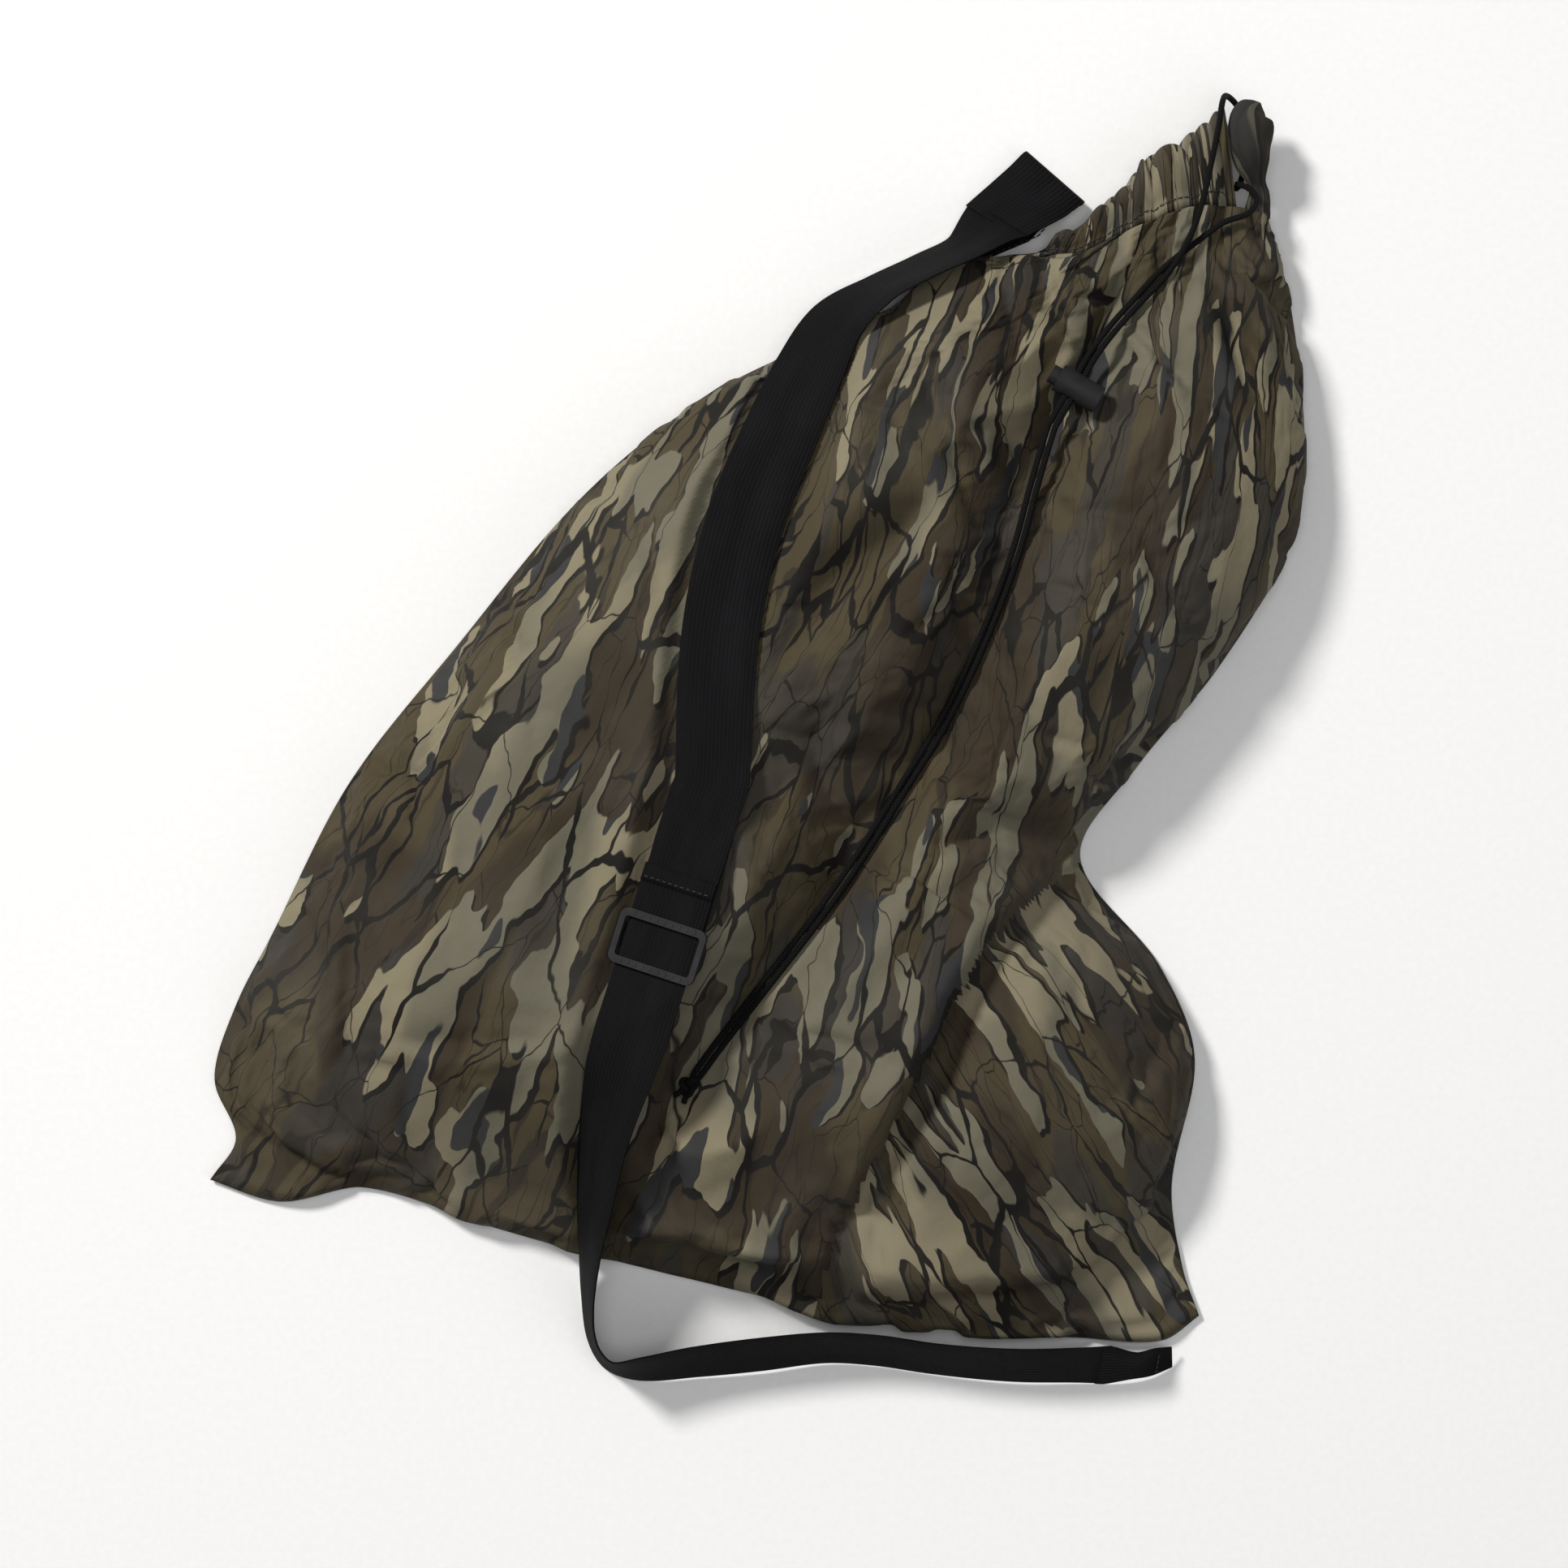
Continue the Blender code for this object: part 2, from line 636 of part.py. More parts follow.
def slider_frame_matrix():
    """The slider's own frame: X across the strap, Y towards the mouth, Z outward."""
    middle, across, outward = strap_frame(SLIDER_STATION)
    turn = Matrix((across, outward.cross(across), outward)).transposed().to_4x4()
    return Matrix.Translation(middle) @ turn


OUTER_BAR_LOW = WEBBING + GAP
CENTRE_BAR_TOP = -2 * GAP - WEBBING


def make_slider(plastic, parent):
    frame = slider_frame_matrix()
    bar_middle = OUTER_BAR_LOW + BAR_THICKNESS / 2
    plate = box_mesh(
        "slider_frame", (SLIDER_WIDTH, SLIDER_LENGTH, BAR_THICKNESS), (0, 0, bar_middle), frame
    )
    slider = add_object("slider_frame", plate, plastic, parent)
    window_size = (SLIDER_WIDTH - 2 * RAIL, SLIDER_LENGTH - 2 * SLIDER_BAR, 0.02)
    window = box_mesh("slider_window", window_size, (0, 0, bar_middle), frame)
    cut(slider, bpy.data.objects.new("slider_window", window))
    top = OUTER_BAR_LOW + BAR_THICKNESS - 0.0002
    low = CENTRE_BAR_TOP - BAR_THICKNESS
    for side in (-1, 1):
        outline = [
            (-SLIDER_LENGTH / 2 + 0.001, top), (-SLIDER_LENGTH / 2 + 0.001, OUTER_BAR_LOW + 0.001),
            (-CENTRE_BAR, low), (CENTRE_BAR, low),
            (SLIDER_LENGTH / 2 - 0.001, OUTER_BAR_LOW + 0.001), (SLIDER_LENGTH / 2 - 0.001, top),
        ]  # fmt: skip
        cheek = bpy.data.meshes.new("slider_cheek")
        solid = bmesh.new()
        near = side * (SLIDER_WIDTH / 2 - RAIL + 0.0002)
        face = solid.faces.new([solid.verts.new((near, y, z)) for y, z in outline])
        grown = bmesh.ops.extrude_face_region(solid, geom=[face])
        moved = [item for item in grown["geom"] if isinstance(item, bmesh.types.BMVert)]
        bmesh.ops.translate(solid, vec=(side * (RAIL - 0.0004), 0, 0), verts=moved)
        bmesh.ops.recalc_face_normals(solid, faces=solid.faces)
        bmesh.ops.transform(solid, matrix=frame, verts=solid.verts)
        solid.to_mesh(cheek)
        solid.free()
        join(slider, bpy.data.objects.new(f"slider_cheek_{side + 1}", cheek))
    bar = box_mesh(
        "slider_centre_bar",
        (SLIDER_WIDTH - RAIL, CENTRE_BAR, BAR_THICKNESS - 0.0002),
        (0, 0, CENTRE_BAR_TOP - BAR_THICKNESS / 2),
        frame,
    )
    join(slider, bpy.data.objects.new("slider_centre_bar", bar))


def make_loop(webbing, thread, parent):
    """The end of the upper webbing, wrapped round the slider's centre bar from the front."""
    frame = slider_frame_matrix()
    front = UPPER_LAYER
    behind = CENTRE_BAR_TOP - BAR_THICKNESS - GAP - WEBBING / 2
    settled = UPPER_LAYER - WEBBING - GAP
    turn = CENTRE_BAR / 2 + GAP + WEBBING / 2
    profile = [
        (LOOP_FRONT_END, front), (0.020, front), (0.004, front), (-turn + 0.0005, front),
        (-turn, front - 0.0006), (-turn, behind + 0.0006), (-turn + 0.0005, behind),
        (0.004, behind), (0.012, behind), (0.028, settled), (0.044, settled), (0.062, settled),
        (LOOP_BACK_END, settled),
    ]  # fmt: skip
    last = len(profile) - 1

    def place(a, b):
        y, z = profile[round(b * last)]
        return frame @ Vector(((a - 0.5) * (WEBBING_WIDTH - 0.001), y, z))

    mapped_sheet("strap_slider_loop", 2, last, place, WEBBING, webbing, parent=parent)
    corners = [(-0.020, 0.046), (0.020, 0.046), (0.020, 0.056), (-0.020, 0.056)]
    level = settled - WEBBING / 2 - GAP - 0.0005
    points = [frame @ Vector((x, y, level)) for x, y in corners]
    tube("loop_stitching", points, 0.0010, thread, sides=1, parent=parent, closed=True)


def make_tail_stitching(thread, parent):
    """The row of thread that closes the folded end of the lower webbing's tail."""
    frame = slider_frame_matrix()
    level = WEBBING + GAP + 0.0005
    points = [
        frame @ Vector((x, TAIL_ABOVE - 0.004, level)) for x in (-0.022, -0.008, 0.008, 0.022)
    ]
    tube("tail_stitching", points, 0.0010, thread, sides=1, parent=parent)


def make_top_tab(webbing, thread):
    """The sewn end at the mouth: a lower layer, a fold, and the upper layer up to the strap."""
    low, high = 0.0045, 0.0095
    start, across, outward = strap_frame(0.0)
    start = start + outward * UPPER_LAYER
    meeting = (start - across * WEBBING_WIDTH / 2, start + across * WEBBING_WIDTH / 2)
    toward = Vector((0.0012, 0.0011, 0.0))
    rows = [
        (Vector((0.1300, 0.3110, low)), Vector((0.1780, 0.3310, low))),
        (Vector((0.1500, 0.3440, low)), Vector((0.1870, 0.3400, low))),
        (Vector((0.1680, 0.3820, low)), Vector((0.2060, 0.3530, low))),
        (Vector((0.1740, 0.3880, low + 0.0008)), Vector((0.2125, 0.3545, low + 0.0008))),
        (Vector((0.1755, 0.3895, (low + high) / 2)), Vector((0.2140, 0.3560, (low + high) / 2))),
        (Vector((0.1735, 0.3880, high - 0.0004)), Vector((0.2120, 0.3545, high + 0.0004))),
        (Vector((0.1650, 0.3795, high - 0.0010)), Vector((0.2000, 0.3450, high + 0.0080))),
        (meeting[0] + toward, meeting[1] + toward),
    ]
    last = len(rows) - 1

    def place(a, b):
        left, right = rows[round(b * last)]
        return left.lerp(right, a)

    mapped_sheet("strap_top_tab", 2, last, place, WEBBING, webbing)
    points = [
        (0.1460, 0.3190, low + 0.0018), (0.1650, 0.3240, low + 0.0018),
        (0.1840, 0.3290, low + 0.0018),
    ]  # fmt: skip
    tube("top_tab_stitching", points, 0.0014, thread, sides=1)


def make_bottom_tab(webbing, thread):
    """The sewn end in the bottom right corner, which meets the strap's last row."""
    end, across, outward = strap_frame(STRAP_LENGTH)
    end = end + outward * LOWER_LAYER
    meeting = (end - across * WEBBING_WIDTH / 2, end + across * WEBBING_WIDTH / 2)
    toward = Vector((0.0030, 0.0, 0.0))
    rows = [
        (meeting[0] + toward, meeting[1] + toward),
        (Vector((0.2440, -0.4135, 0.0040)), Vector((0.2460, -0.3925, 0.0330))),
        (Vector((0.2575, -0.4115, 0.0030)), Vector((0.2585, -0.3915, 0.0200))),
        (Vector((0.2715, -0.4060, 0.0020)), Vector((0.2705, -0.3915, 0.0100))),
    ]
    last = len(rows) - 1

    def place(a, b):
        left, right = rows[round(b * last)]
        return left.lerp(right, a)

    mapped_sheet("strap_bottom_tab", 2, last, place, WEBBING, webbing)
    points = [
        (0.2610, -0.4080, 0.0085), (0.2618, -0.4010, 0.0128), (0.2626, -0.3945, 0.0170),
    ]  # fmt: skip
    tube("bottom_tab_stitching", points, 0.0014, thread, sides=1)


# ---- Assembly -----------------------------------------------------------------------------

clear_scene()
PARTS = new_collection("layout_field_blind")
CUTTERS = new_collection("cutters")

FABRIC_FINISH = material("camouflage fabric", (0.16, 0.14, 0.09), 0.85)
BUNDLE_FINISH = material("blind cover cloth", (0.10, 0.09, 0.06), 0.90)
WEBBING_FINISH = material("black webbing", (0.010, 0.010, 0.012), 0.75)
CORD_FINISH = material("black cord", (0.008, 0.008, 0.008), 0.80)
THREAD_FINISH = material("black thread", (0.015, 0.015, 0.015), 0.70)
PLASTIC_FINISH = material("dark grey plastic", (0.035, 0.035, 0.037), 0.45)
STEEL_FINISH = material("spring steel", (0.45, 0.45, 0.46), 0.35, 1.0)

make_panels(FABRIC_FINISH)
make_seams(THREAD_FINISH)
make_bundle(BUNDLE_FINISH)
make_hems(FABRIC_FINISH, THREAD_FINISH)
make_vent_flap(FABRIC_FINISH)
make_drawcord(CORD_FINISH)
make_strands(CORD_FINISH)
make_knot(CORD_FINISH)
make_cord_lock(PLASTIC_FINISH, STEEL_FINISH)
make_strap(WEBBING_FINISH, THREAD_FINISH, PLASTIC_FINISH)
make_top_tab(WEBBING_FINISH, THREAD_FINISH)
make_bottom_tab(WEBBING_FINISH, THREAD_FINISH)
bpy.context.view_layer.update()
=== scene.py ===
"""The looks of a layout field blind packed in its drawstring carry bag, round its CAD frame.

Metres, +Z up, z = 0 is the ground and +Y points along the bag's length, as in the CAD.
The fabric carries its own coordinates, in metres of cloth, in a UV map named "cloth".
"""

import math
import random

import bmesh
import bpy
import numpy as np
from mathutils import Matrix, Vector, noise
from mathutils.bvhtree import BVHTree


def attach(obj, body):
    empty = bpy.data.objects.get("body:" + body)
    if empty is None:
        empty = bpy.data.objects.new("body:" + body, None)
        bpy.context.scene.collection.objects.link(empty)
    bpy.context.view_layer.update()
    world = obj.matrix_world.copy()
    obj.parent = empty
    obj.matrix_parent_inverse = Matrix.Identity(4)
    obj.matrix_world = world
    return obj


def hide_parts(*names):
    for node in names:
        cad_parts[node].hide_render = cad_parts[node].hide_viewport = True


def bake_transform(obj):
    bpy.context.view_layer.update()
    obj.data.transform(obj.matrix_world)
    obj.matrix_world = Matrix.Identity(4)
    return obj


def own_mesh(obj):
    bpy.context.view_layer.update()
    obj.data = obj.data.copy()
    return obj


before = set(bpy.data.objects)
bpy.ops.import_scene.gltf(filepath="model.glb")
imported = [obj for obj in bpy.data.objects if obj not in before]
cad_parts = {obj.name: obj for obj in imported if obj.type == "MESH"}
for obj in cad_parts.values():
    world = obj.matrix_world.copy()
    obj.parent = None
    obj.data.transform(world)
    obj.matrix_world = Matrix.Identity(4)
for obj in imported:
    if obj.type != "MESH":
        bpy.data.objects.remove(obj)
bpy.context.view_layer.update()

# ---- Sizes shared with the CAD ------------------------------------------------------------

FABRIC = 0.0015
GAP = 0.0003
SEAM_ROLL = 0.0026
EDGE_TOP = 3 * GAP + SEAM_ROLL + 2 * FABRIC
CROWN_LOW = 0.010
CROWN_FULL = 0.068
MOUTH_SHARE = 0.50
VALLEY_SHARE = 0.38
VALLEY_WIDTH = 0.034
CORD = 0.004
STRAND_SPACING = CORD + 0.0006
WEBBING_WIDTH = 0.050
WEBBING = 0.0014
SLIDER_WIDTH = 0.060
SLIDER_LENGTH = 0.036
SLIDER_BAR = 0.005
CENTRE_BAR = 0.006
BAR_THICKNESS = 0.003
RAIL = 0.004
HEM_START = 0.06
VENT = 0.84
CHANNEL_REACH = 0.24  # of the way from the hem's stitching to its top edge
CORD_EXIT = VENT + 0.01
EXIT_GAP = 0.0022
BAG_WIDTH = 0.66  # of cloth, laid flat
BAG_LENGTH = 0.80

LEFT_EDGE = [
    (-0.358, -0.283), (-0.341, -0.256), (-0.355, -0.217), (-0.341, -0.169),
    (-0.318, -0.124), (-0.267, -0.024), (-0.198, 0.064), (-0.113, 0.165),
    (-0.030, 0.231), (0.060, 0.274), (0.142, 0.312), (0.182, 0.322),
]  # fmt: skip
RIGHT_EDGE = [
    (0.289, -0.372), (0.278, -0.340), (0.271, -0.286), (0.286, -0.203),
    (0.263, -0.143), (0.211, -0.072), (0.248, -0.013), (0.302, 0.053),
    (0.350, 0.135), (0.358, 0.195), (0.349, 0.287), (0.334, 0.346),
]  # fmt: skip
BOTTOM_EDGE = [
    (-0.358, -0.283), (-0.312, -0.297), (-0.256, -0.288), (-0.172, -0.314),
    (-0.100, -0.334), (0.041, -0.367), (0.142, -0.383), (0.210, -0.386),
    (0.264, -0.388), (0.289, -0.372),
]  # fmt: skip
HEM_STITCH = [
    (0.182, 0.322), (0.208, 0.320), (0.233, 0.331), (0.258, 0.342),
    (0.283, 0.350), (0.310, 0.350), (0.334, 0.346),
]  # fmt: skip
HEM_TOP = [
    (0.190, 0.332), (0.211, 0.341), (0.226, 0.357), (0.245, 0.372),
    (0.257, 0.389), (0.278, 0.401), (0.303, 0.413), (0.327, 0.417),
]  # fmt: skip

LOCK_PLACE = Vector((0.204, 0.231, 0.0590))
LOCK_HEADING = Vector((-0.500, -0.866, 0.150)).normalized()
STRANDS_BELOW_LOCK = [
    (0.189, 0.205, 0.0630), (0.178, 0.168, 0.0620), (0.166, 0.124, 0.0610),
    (0.147, 0.073, 0.0620), (0.121, 0.018, 0.0605), (0.093, -0.028, 0.0600),
    (0.066, -0.071, 0.0610), (0.038, -0.111, 0.0620), (0.007, -0.151, 0.0615),
    (-0.024, -0.191, 0.0620), (-0.038, -0.210, 0.0655),
]  # fmt: skip
FRONT_STRAND_ABOVE = [
    (0.3195, 0.3620, 0.0285), (0.3240, 0.3540, 0.0330), (0.3180, 0.3450, 0.0385),
    (0.3020, 0.3390, 0.0385), (0.2850, 0.3270, 0.0375), (0.2622, 0.3089, 0.0385),
    (0.2422, 0.2874, 0.0440), (0.2270, 0.2702, 0.0510),
]  # fmt: skip
BACK_STRAND_ABOVE = [
    (0.3160, 0.3700, 0.0100), (0.3190, 0.3850, 0.0100), (0.3190, 0.4030, 0.0110),
    (0.3130, 0.4170, 0.0170), (0.3050, 0.4225, 0.0270), (0.3010, 0.4170, 0.0390),
    (0.2980, 0.4000, 0.0435), (0.2930, 0.3760, 0.0445), (0.2870, 0.3500, 0.0440),
    (0.2790, 0.3280, 0.0440), (0.2658, 0.3061, 0.0420), (0.2458, 0.2846, 0.0450),
    (0.2310, 0.2678, 0.0515),
]  # fmt: skip

SLIDER_PLACE = Vector((-0.0615, -0.127, 0.0995))
STRAP_UP = Vector((0.300, 0.954, 0.0)).normalized()
SLIDER_ROLL = 18.0
STRAIGHT_RUN = (0.110, 0.098, 0.050, 0.0, -0.045, -0.060)
STRAP_ABOVE = [
    (0.158, 0.345, 0.0200, 30), (0.136, 0.326, 0.0310, 60), (0.107, 0.312, 0.0320, 64),
    (0.078, 0.297, 0.0330, 60), (0.050, 0.275, 0.0370, 42), (0.033, 0.243, 0.0500, 26),
    (0.014, 0.198, 0.0720, 14), (-0.002, 0.159, 0.0800, 8), (-0.014, 0.119, 0.0850, 5),
    (-0.022, 0.078, 0.0890, 6), (-0.026, 0.036, 0.0945, 11),
]  # fmt: skip
STRAP_BELOW = [
    (-0.087, -0.208, 0.0975, 28), (-0.094, -0.234, 0.0910, 42), (-0.100, -0.262, 0.0790, 52),
    (-0.105, -0.296, 0.0590, 62), (-0.108, -0.328, 0.0460, 72), (-0.109, -0.360, 0.0310, 79),
    (-0.106, -0.386, 0.0270, 80), (-0.096, -0.401, 0.0260, 76), (-0.076, -0.404, 0.0250, 66),
    (-0.039, -0.399, 0.0240, 60), (0.001, -0.394, 0.0240, 58), (0.043, -0.390, 0.0240, 60),
    (0.078, -0.392, 0.0240, 60), (0.115, -0.3970, 0.0240, 60), (0.168, -0.4010, 0.0240, 58),
    (0.212, -0.4015, 0.0230, 56), (0.228, -0.4015, 0.0220, 54),
]  # fmt: skip

# ---- Small helpers ------------------------------------------------------------------------


def smooth_line(points):
    """A function from 0..1, or an array of them, to a smooth line through the points."""
    knots = np.array(points, float)
    steps = np.linalg.norm(np.diff(knots[:, :3], axis=0), axis=1)
    places = np.concatenate([[0.0], np.cumsum(steps)])
    slopes = np.empty_like(knots)
    slopes[1:-1] = (knots[2:] - knots[:-2]) / (places[2:] - places[:-2])[:, None]
    slopes[0] = (knots[1] - knots[0]) / steps[0]
    slopes[-1] = (knots[-1] - knots[-2]) / steps[-1]

    def at(share):
        want = np.clip(np.asarray(share, float), 0.0, 1.0) * places[-1]
        i = np.clip(np.searchsorted(places, want) - 1, 0, len(steps) - 1)
        step = steps[i][..., None]
        t = (want - places[i])[..., None] / step
        rise = t * t * (3.0 - 2.0 * t)
        lead = t * (1.0 - t) * (1.0 - t)
        trail = t * t * (t - 1.0)
        bend = (slopes[i] * lead + slopes[i + 1] * trail) * step
        return knots[i] * (1.0 - rise) + knots[i + 1] * rise + bend

    at.length = float(places[-1])
    return at


def smooth_step(low, high, value):
    share = np.clip((value - low) / (high - low), 0.0, 1.0)
    return share * share * (3.0 - 2.0 * share)


def link(name, mesh, *materials):
    made = bpy.data.objects.new(name, mesh)
    bpy.context.scene.collection.objects.link(made)
    for finish in materials:
        mesh.materials.append(finish)
    return made


def finish_piece(made, body, slot, *replaced):
    """Makes an object ride on a body and stand for the named CAD nodes."""
    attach(made, body)
    if replaced:
        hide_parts(*replaced)
    return made


def add_piece(name, mesh, finish, body, slot, *replaced):
    return finish_piece(link(name, mesh, finish), body, slot, *replaced)


def grid_mesh(name, places, cloth):
    """A mesh over places (rows, columns, 3), with cloth coordinates (rows, columns, 2)."""
    rows, columns, _ = places.shape
    mesh = bpy.data.meshes.new(name)
    index = np.arange(rows * columns).reshape(rows, columns)
    faces = [index[:-1, :-1], index[:-1, 1:], index[1:, 1:], index[1:, :-1]]
    faces = np.stack(faces, axis=-1).reshape(-1, 4)
    mesh.from_pydata(places.reshape(-1, 3).tolist(), [], faces.tolist())
    lay_coordinates(mesh, cloth.reshape(-1, 2)[faces.reshape(-1)])
    return mesh


def lay_coordinates(mesh, corners):
    layer = mesh.uv_layers.new(name="cloth")
    layer.data.foreach_set("uv", corners.astype(np.float32).ravel())
    mesh.shade_smooth()


def section_mesh(name, rings, cloth, closed=False):
    """A closed body from rings of points (count, around, 3), with cloth coordinates
    (count, around + 1, 2). The ends are capped unless the body is closed on itself."""
    count, around, _ = rings.shape
    mesh = bpy.data.meshes.new(name)
    index = np.arange(count * around).reshape(count, around)
    beside_it = np.roll(index, -1, axis=1)
    ahead = np.roll(index, -1, axis=0) if closed else index[1:]
    ahead_beside = np.roll(beside_it, -1, axis=0) if closed else beside_it[1:]
    last = count if closed else count - 1
    quads = np.stack([index[:last], beside_it[:last], ahead_beside, ahead], axis=-1)
    faces = quads.reshape(-1, 4).tolist()
    if not closed:
        faces += [index[0][::-1].tolist(), index[-1].tolist()]
    mesh.from_pydata(rings.reshape(-1, 3).tolist(), [], faces)
    here = np.arange(last)
    following = (here + 1) % count
    parts = [cloth[here, :-1], cloth[here, 1:], cloth[following, 1:], cloth[following, :-1]]
    corners = np.stack(parts, axis=2).reshape(-1, 2)
    if not closed:
        corners = np.concatenate([corners, cloth[0, :-1][::-1], cloth[-1, :-1]])
    lay_coordinates(mesh, corners)
    return mesh


def directions(points, closed=False):
    """The unit direction of a line of points at each of them."""
    if closed:
        run = np.roll(points, -1, axis=0) - np.roll(points, 1, axis=0)
    else:
        run = np.gradient(points, axis=0)
    return run / np.linalg.norm(run, axis=1, keepdims=True)


def lengths_along(points):
    return np.concatenate([[0.0], np.cumsum(np.linalg.norm(np.diff(points, axis=0), axis=1))])


def tube_mesh(name, points, radius, sides=12, closed=False):
    """A round tube along the points. Its cloth coordinates are turns round and metres along."""
    points = np.array(points, float)
    run = directions(points, closed)
    side = np.cross(run[0], (0.0, 0.0, 1.0))
    sides_of = []
    for direction in run:
        side = side - direction * np.dot(side, direction)
        side = side / np.linalg.norm(side)
        sides_of.append(side)
    side = np.array(sides_of)
    up = np.cross(side, run)
    angles = np.linspace(0, 2 * math.pi, sides, endpoint=False)
    cos, sin = np.cos(angles)[None, :, None], np.sin(angles)[None, :, None]
    ring = side[:, None] * cos + up[:, None] * sin
    rings = points[:, None] + ring * np.broadcast_to(radius, len(points))[:, None, None]
    along = lengths_along(points)
    turn, metre = np.meshgrid(np.linspace(0, 1, sides + 1), along)
    return section_mesh(name, rings, np.stack([turn, metre], axis=-1), closed)


def ribbon_mesh(name, left, right, thickness):
    """Flat webbing between two edges, (count, 3) each, with rounded edges and cut ends."""
    middle = (left + right) / 2
    across = right - left
    width = np.linalg.norm(across, axis=1, keepdims=True)
    across = across / width
    outward = np.cross(directions(middle), across)
    outward /= np.linalg.norm(outward, axis=1, keepdims=True)
    half = thickness / 2
    rim = [(-1.0, 0.0), (-0.6, 0.8), (0.0, 1.0)]
    top = [(-1, x * half + half, z * half) for x, z in rim]
    top += [(s, 0.0, half) for s in (-0.5, 0.0, 0.5)]
    top += [(1, -(x * half + half), z * half) for x, z in rim[::-1]]
    low = [(s, inset, -z) for s, inset, z in top[-2:0:-1]]
    section = np.array(top + low)
    place = middle[:, None] + across[:, None] * (
        section[None, :, 0:1] * width[:, None] / 2 + section[None, :, 1:2]
    )
    rings = place + outward[:, None] * section[None, :, 2:3]
    offset = section[:, 0] * float(width.mean()) / 2 + section[:, 1]
    offset = np.append(offset, offset[0])
    u, v = np.meshgrid(offset, lengths_along(middle))
    return section_mesh(name, rings, np.stack([u, v], axis=-1))


def stitch_row(name, points, upward, length=0.0030, pause=0.0012, radius=0.00042):
    """A row of separate stitches along a line of points: short arched threads, one object."""
    points = np.array(points, float)
    along = lengths_along(points)
    vertices, faces = [], []
    upward = np.array(upward, float) / np.linalg.norm(upward)
    ends = 6
    for start in np.arange(0.0, along[-1] - length, length + pause):
        marks = start + length * np.linspace(0, 1, 5)
        line = np.stack([np.interp(marks, along, points[:, k]) for k in range(3)], axis=1)
        arch = np.array((-0.6, 0.6, 1.0, 0.6, -0.6))[:, None] * radius
        line = line + upward * arch
        run = directions(line)
        side = np.cross(run, upward)
        side /= np.linalg.norm(side, axis=1, keepdims=True)
        up = np.cross(side, run)
        first = len(vertices)
        for k in range(5):
            for turn in range(ends):
                angle = 2 * math.pi * turn / ends
                offset = side[k] * math.cos(angle) + up[k] * math.sin(angle)
                vertices.append(tuple(line[k] + offset * radius))
        for k in range(4):
            for turn in range(ends):
                after = (turn + 1) % ends
                base = first + k * ends
                faces.append((base + turn, base + after, base + ends + after, base + ends + turn))
        faces.append(tuple(first + turn for turn in range(ends))[::-1])
        faces.append(tuple(first + 4 * ends + turn for turn in range(ends)))
    mesh = bpy.data.meshes.new(name)
    mesh.from_pydata(vertices, [], faces)
    mesh.shade_smooth()
    return link(name, mesh, THREAD_FINISH)


def add_thickness(obj, thickness, offset=0.0):
    thick = obj.modifiers.new("thickness", "SOLIDIFY")
    thick.thickness = thickness
    thick.offset = offset


def add_bevel(obj, width, segments=2):
    round_off = obj.modifiers.new("rounded edges", "BEVEL")
    round_off.width = width
    round_off.segments = segments
    round_off.limit_method = "ANGLE"
    round_off.angle_limit = math.radians(35)


# ---- Material helpers ---------------------------------------------------------------------


class Maker:
    """Short names for adding shader nodes to one material."""

    def __init__(self, name):
        self.material = bpy.data.materials.new(name)
        self.material.use_nodes = True
        self.tree = self.material.node_tree
        self.shader = self.tree.nodes["Principled BSDF"]

    def add(self, kind, inputs=(), out=0, **settings):
        made = self.tree.nodes.new(kind)
        for key, value in settings.items():
            setattr(made, key, value)
        for key, value in dict(inputs).items():
            self.put(made.inputs[key], value)
        return made.outputs[out]

    def put(self, socket, value):
        if isinstance(value, bpy.types.NodeSocket):
            self.tree.links.new(value, socket)
        elif socket.type == "RGBA" and len(value) == 3:
            socket.default_value = (*value, 1.0)
        else:
            socket.default_value = value

    def set(self, **values):
        for key, value in values.items():
            self.put(self.shader.inputs[key.replace("_", " ")], value)

    def math(self, operation, first, second=0.0, third=0.0):
        inputs = {0: first, 1: second, 2: third}
        return self.add("ShaderNodeMath", inputs, operation=operation)

    def vector(self, operation, *values):
        return self.add("ShaderNodeVectorMath", dict(enumerate(values)), operation=operation)

    def cloth(self):
        return self.add("ShaderNodeUVMap", uv_map="cloth")

    def place(self):
        return self.add("ShaderNodeTexCoord", out=3)

    def bands(self, vector, direction, scale, **more):
        inputs = {"Vector": vector, "Scale": scale, "Distortion": 0.0}
        inputs.update({key.replace("_", " "): value for key, value in more.items()})
        return self.add("ShaderNodeTexWave", inputs, 1, bands_direction=direction)

    def scaled(self, vector, across, along, seed=0.0):
        inputs = {"Vector": vector, "Scale": (across, along, 1.0)}
        inputs["Location"] = (seed, seed / 2, seed)
        return self.add("ShaderNodeMapping", inputs)

    def noise(self, vector, detail=1.0, roughness=0.5, out=0):
        inputs = {"Vector": vector, "Scale": 1.0, "Detail": detail, "Roughness": roughness}
        return self.add("ShaderNodeTexNoise", inputs, out)

    def ramp(self, value, low, high):
        """0 below low and 1 above high, smooth between; reversed if high is under low."""
        inputs = {"Value": value, "From Min": low, "From Max": high}
        return self.add("ShaderNodeMapRange", inputs, interpolation_type="SMOOTHSTEP")

    def mix(self, share, first, second):
        made = self.tree.nodes.new("ShaderNodeMix")
        made.data_type = "RGBA"
        self.put(made.inputs[0], share)
        self.put(made.inputs[6], first)
        self.put(made.inputs[7], second)
        return made.outputs[2]

    def bump(self, height, distance, strength=1.0, normal=None):
        inputs = {"Height": height, "Distance": distance, "Strength": strength}
        if normal is not None:
            inputs["Normal"] = normal
        return self.add("ShaderNodeBump", inputs)


# ---- Materials ----------------------------------------------------------------------------

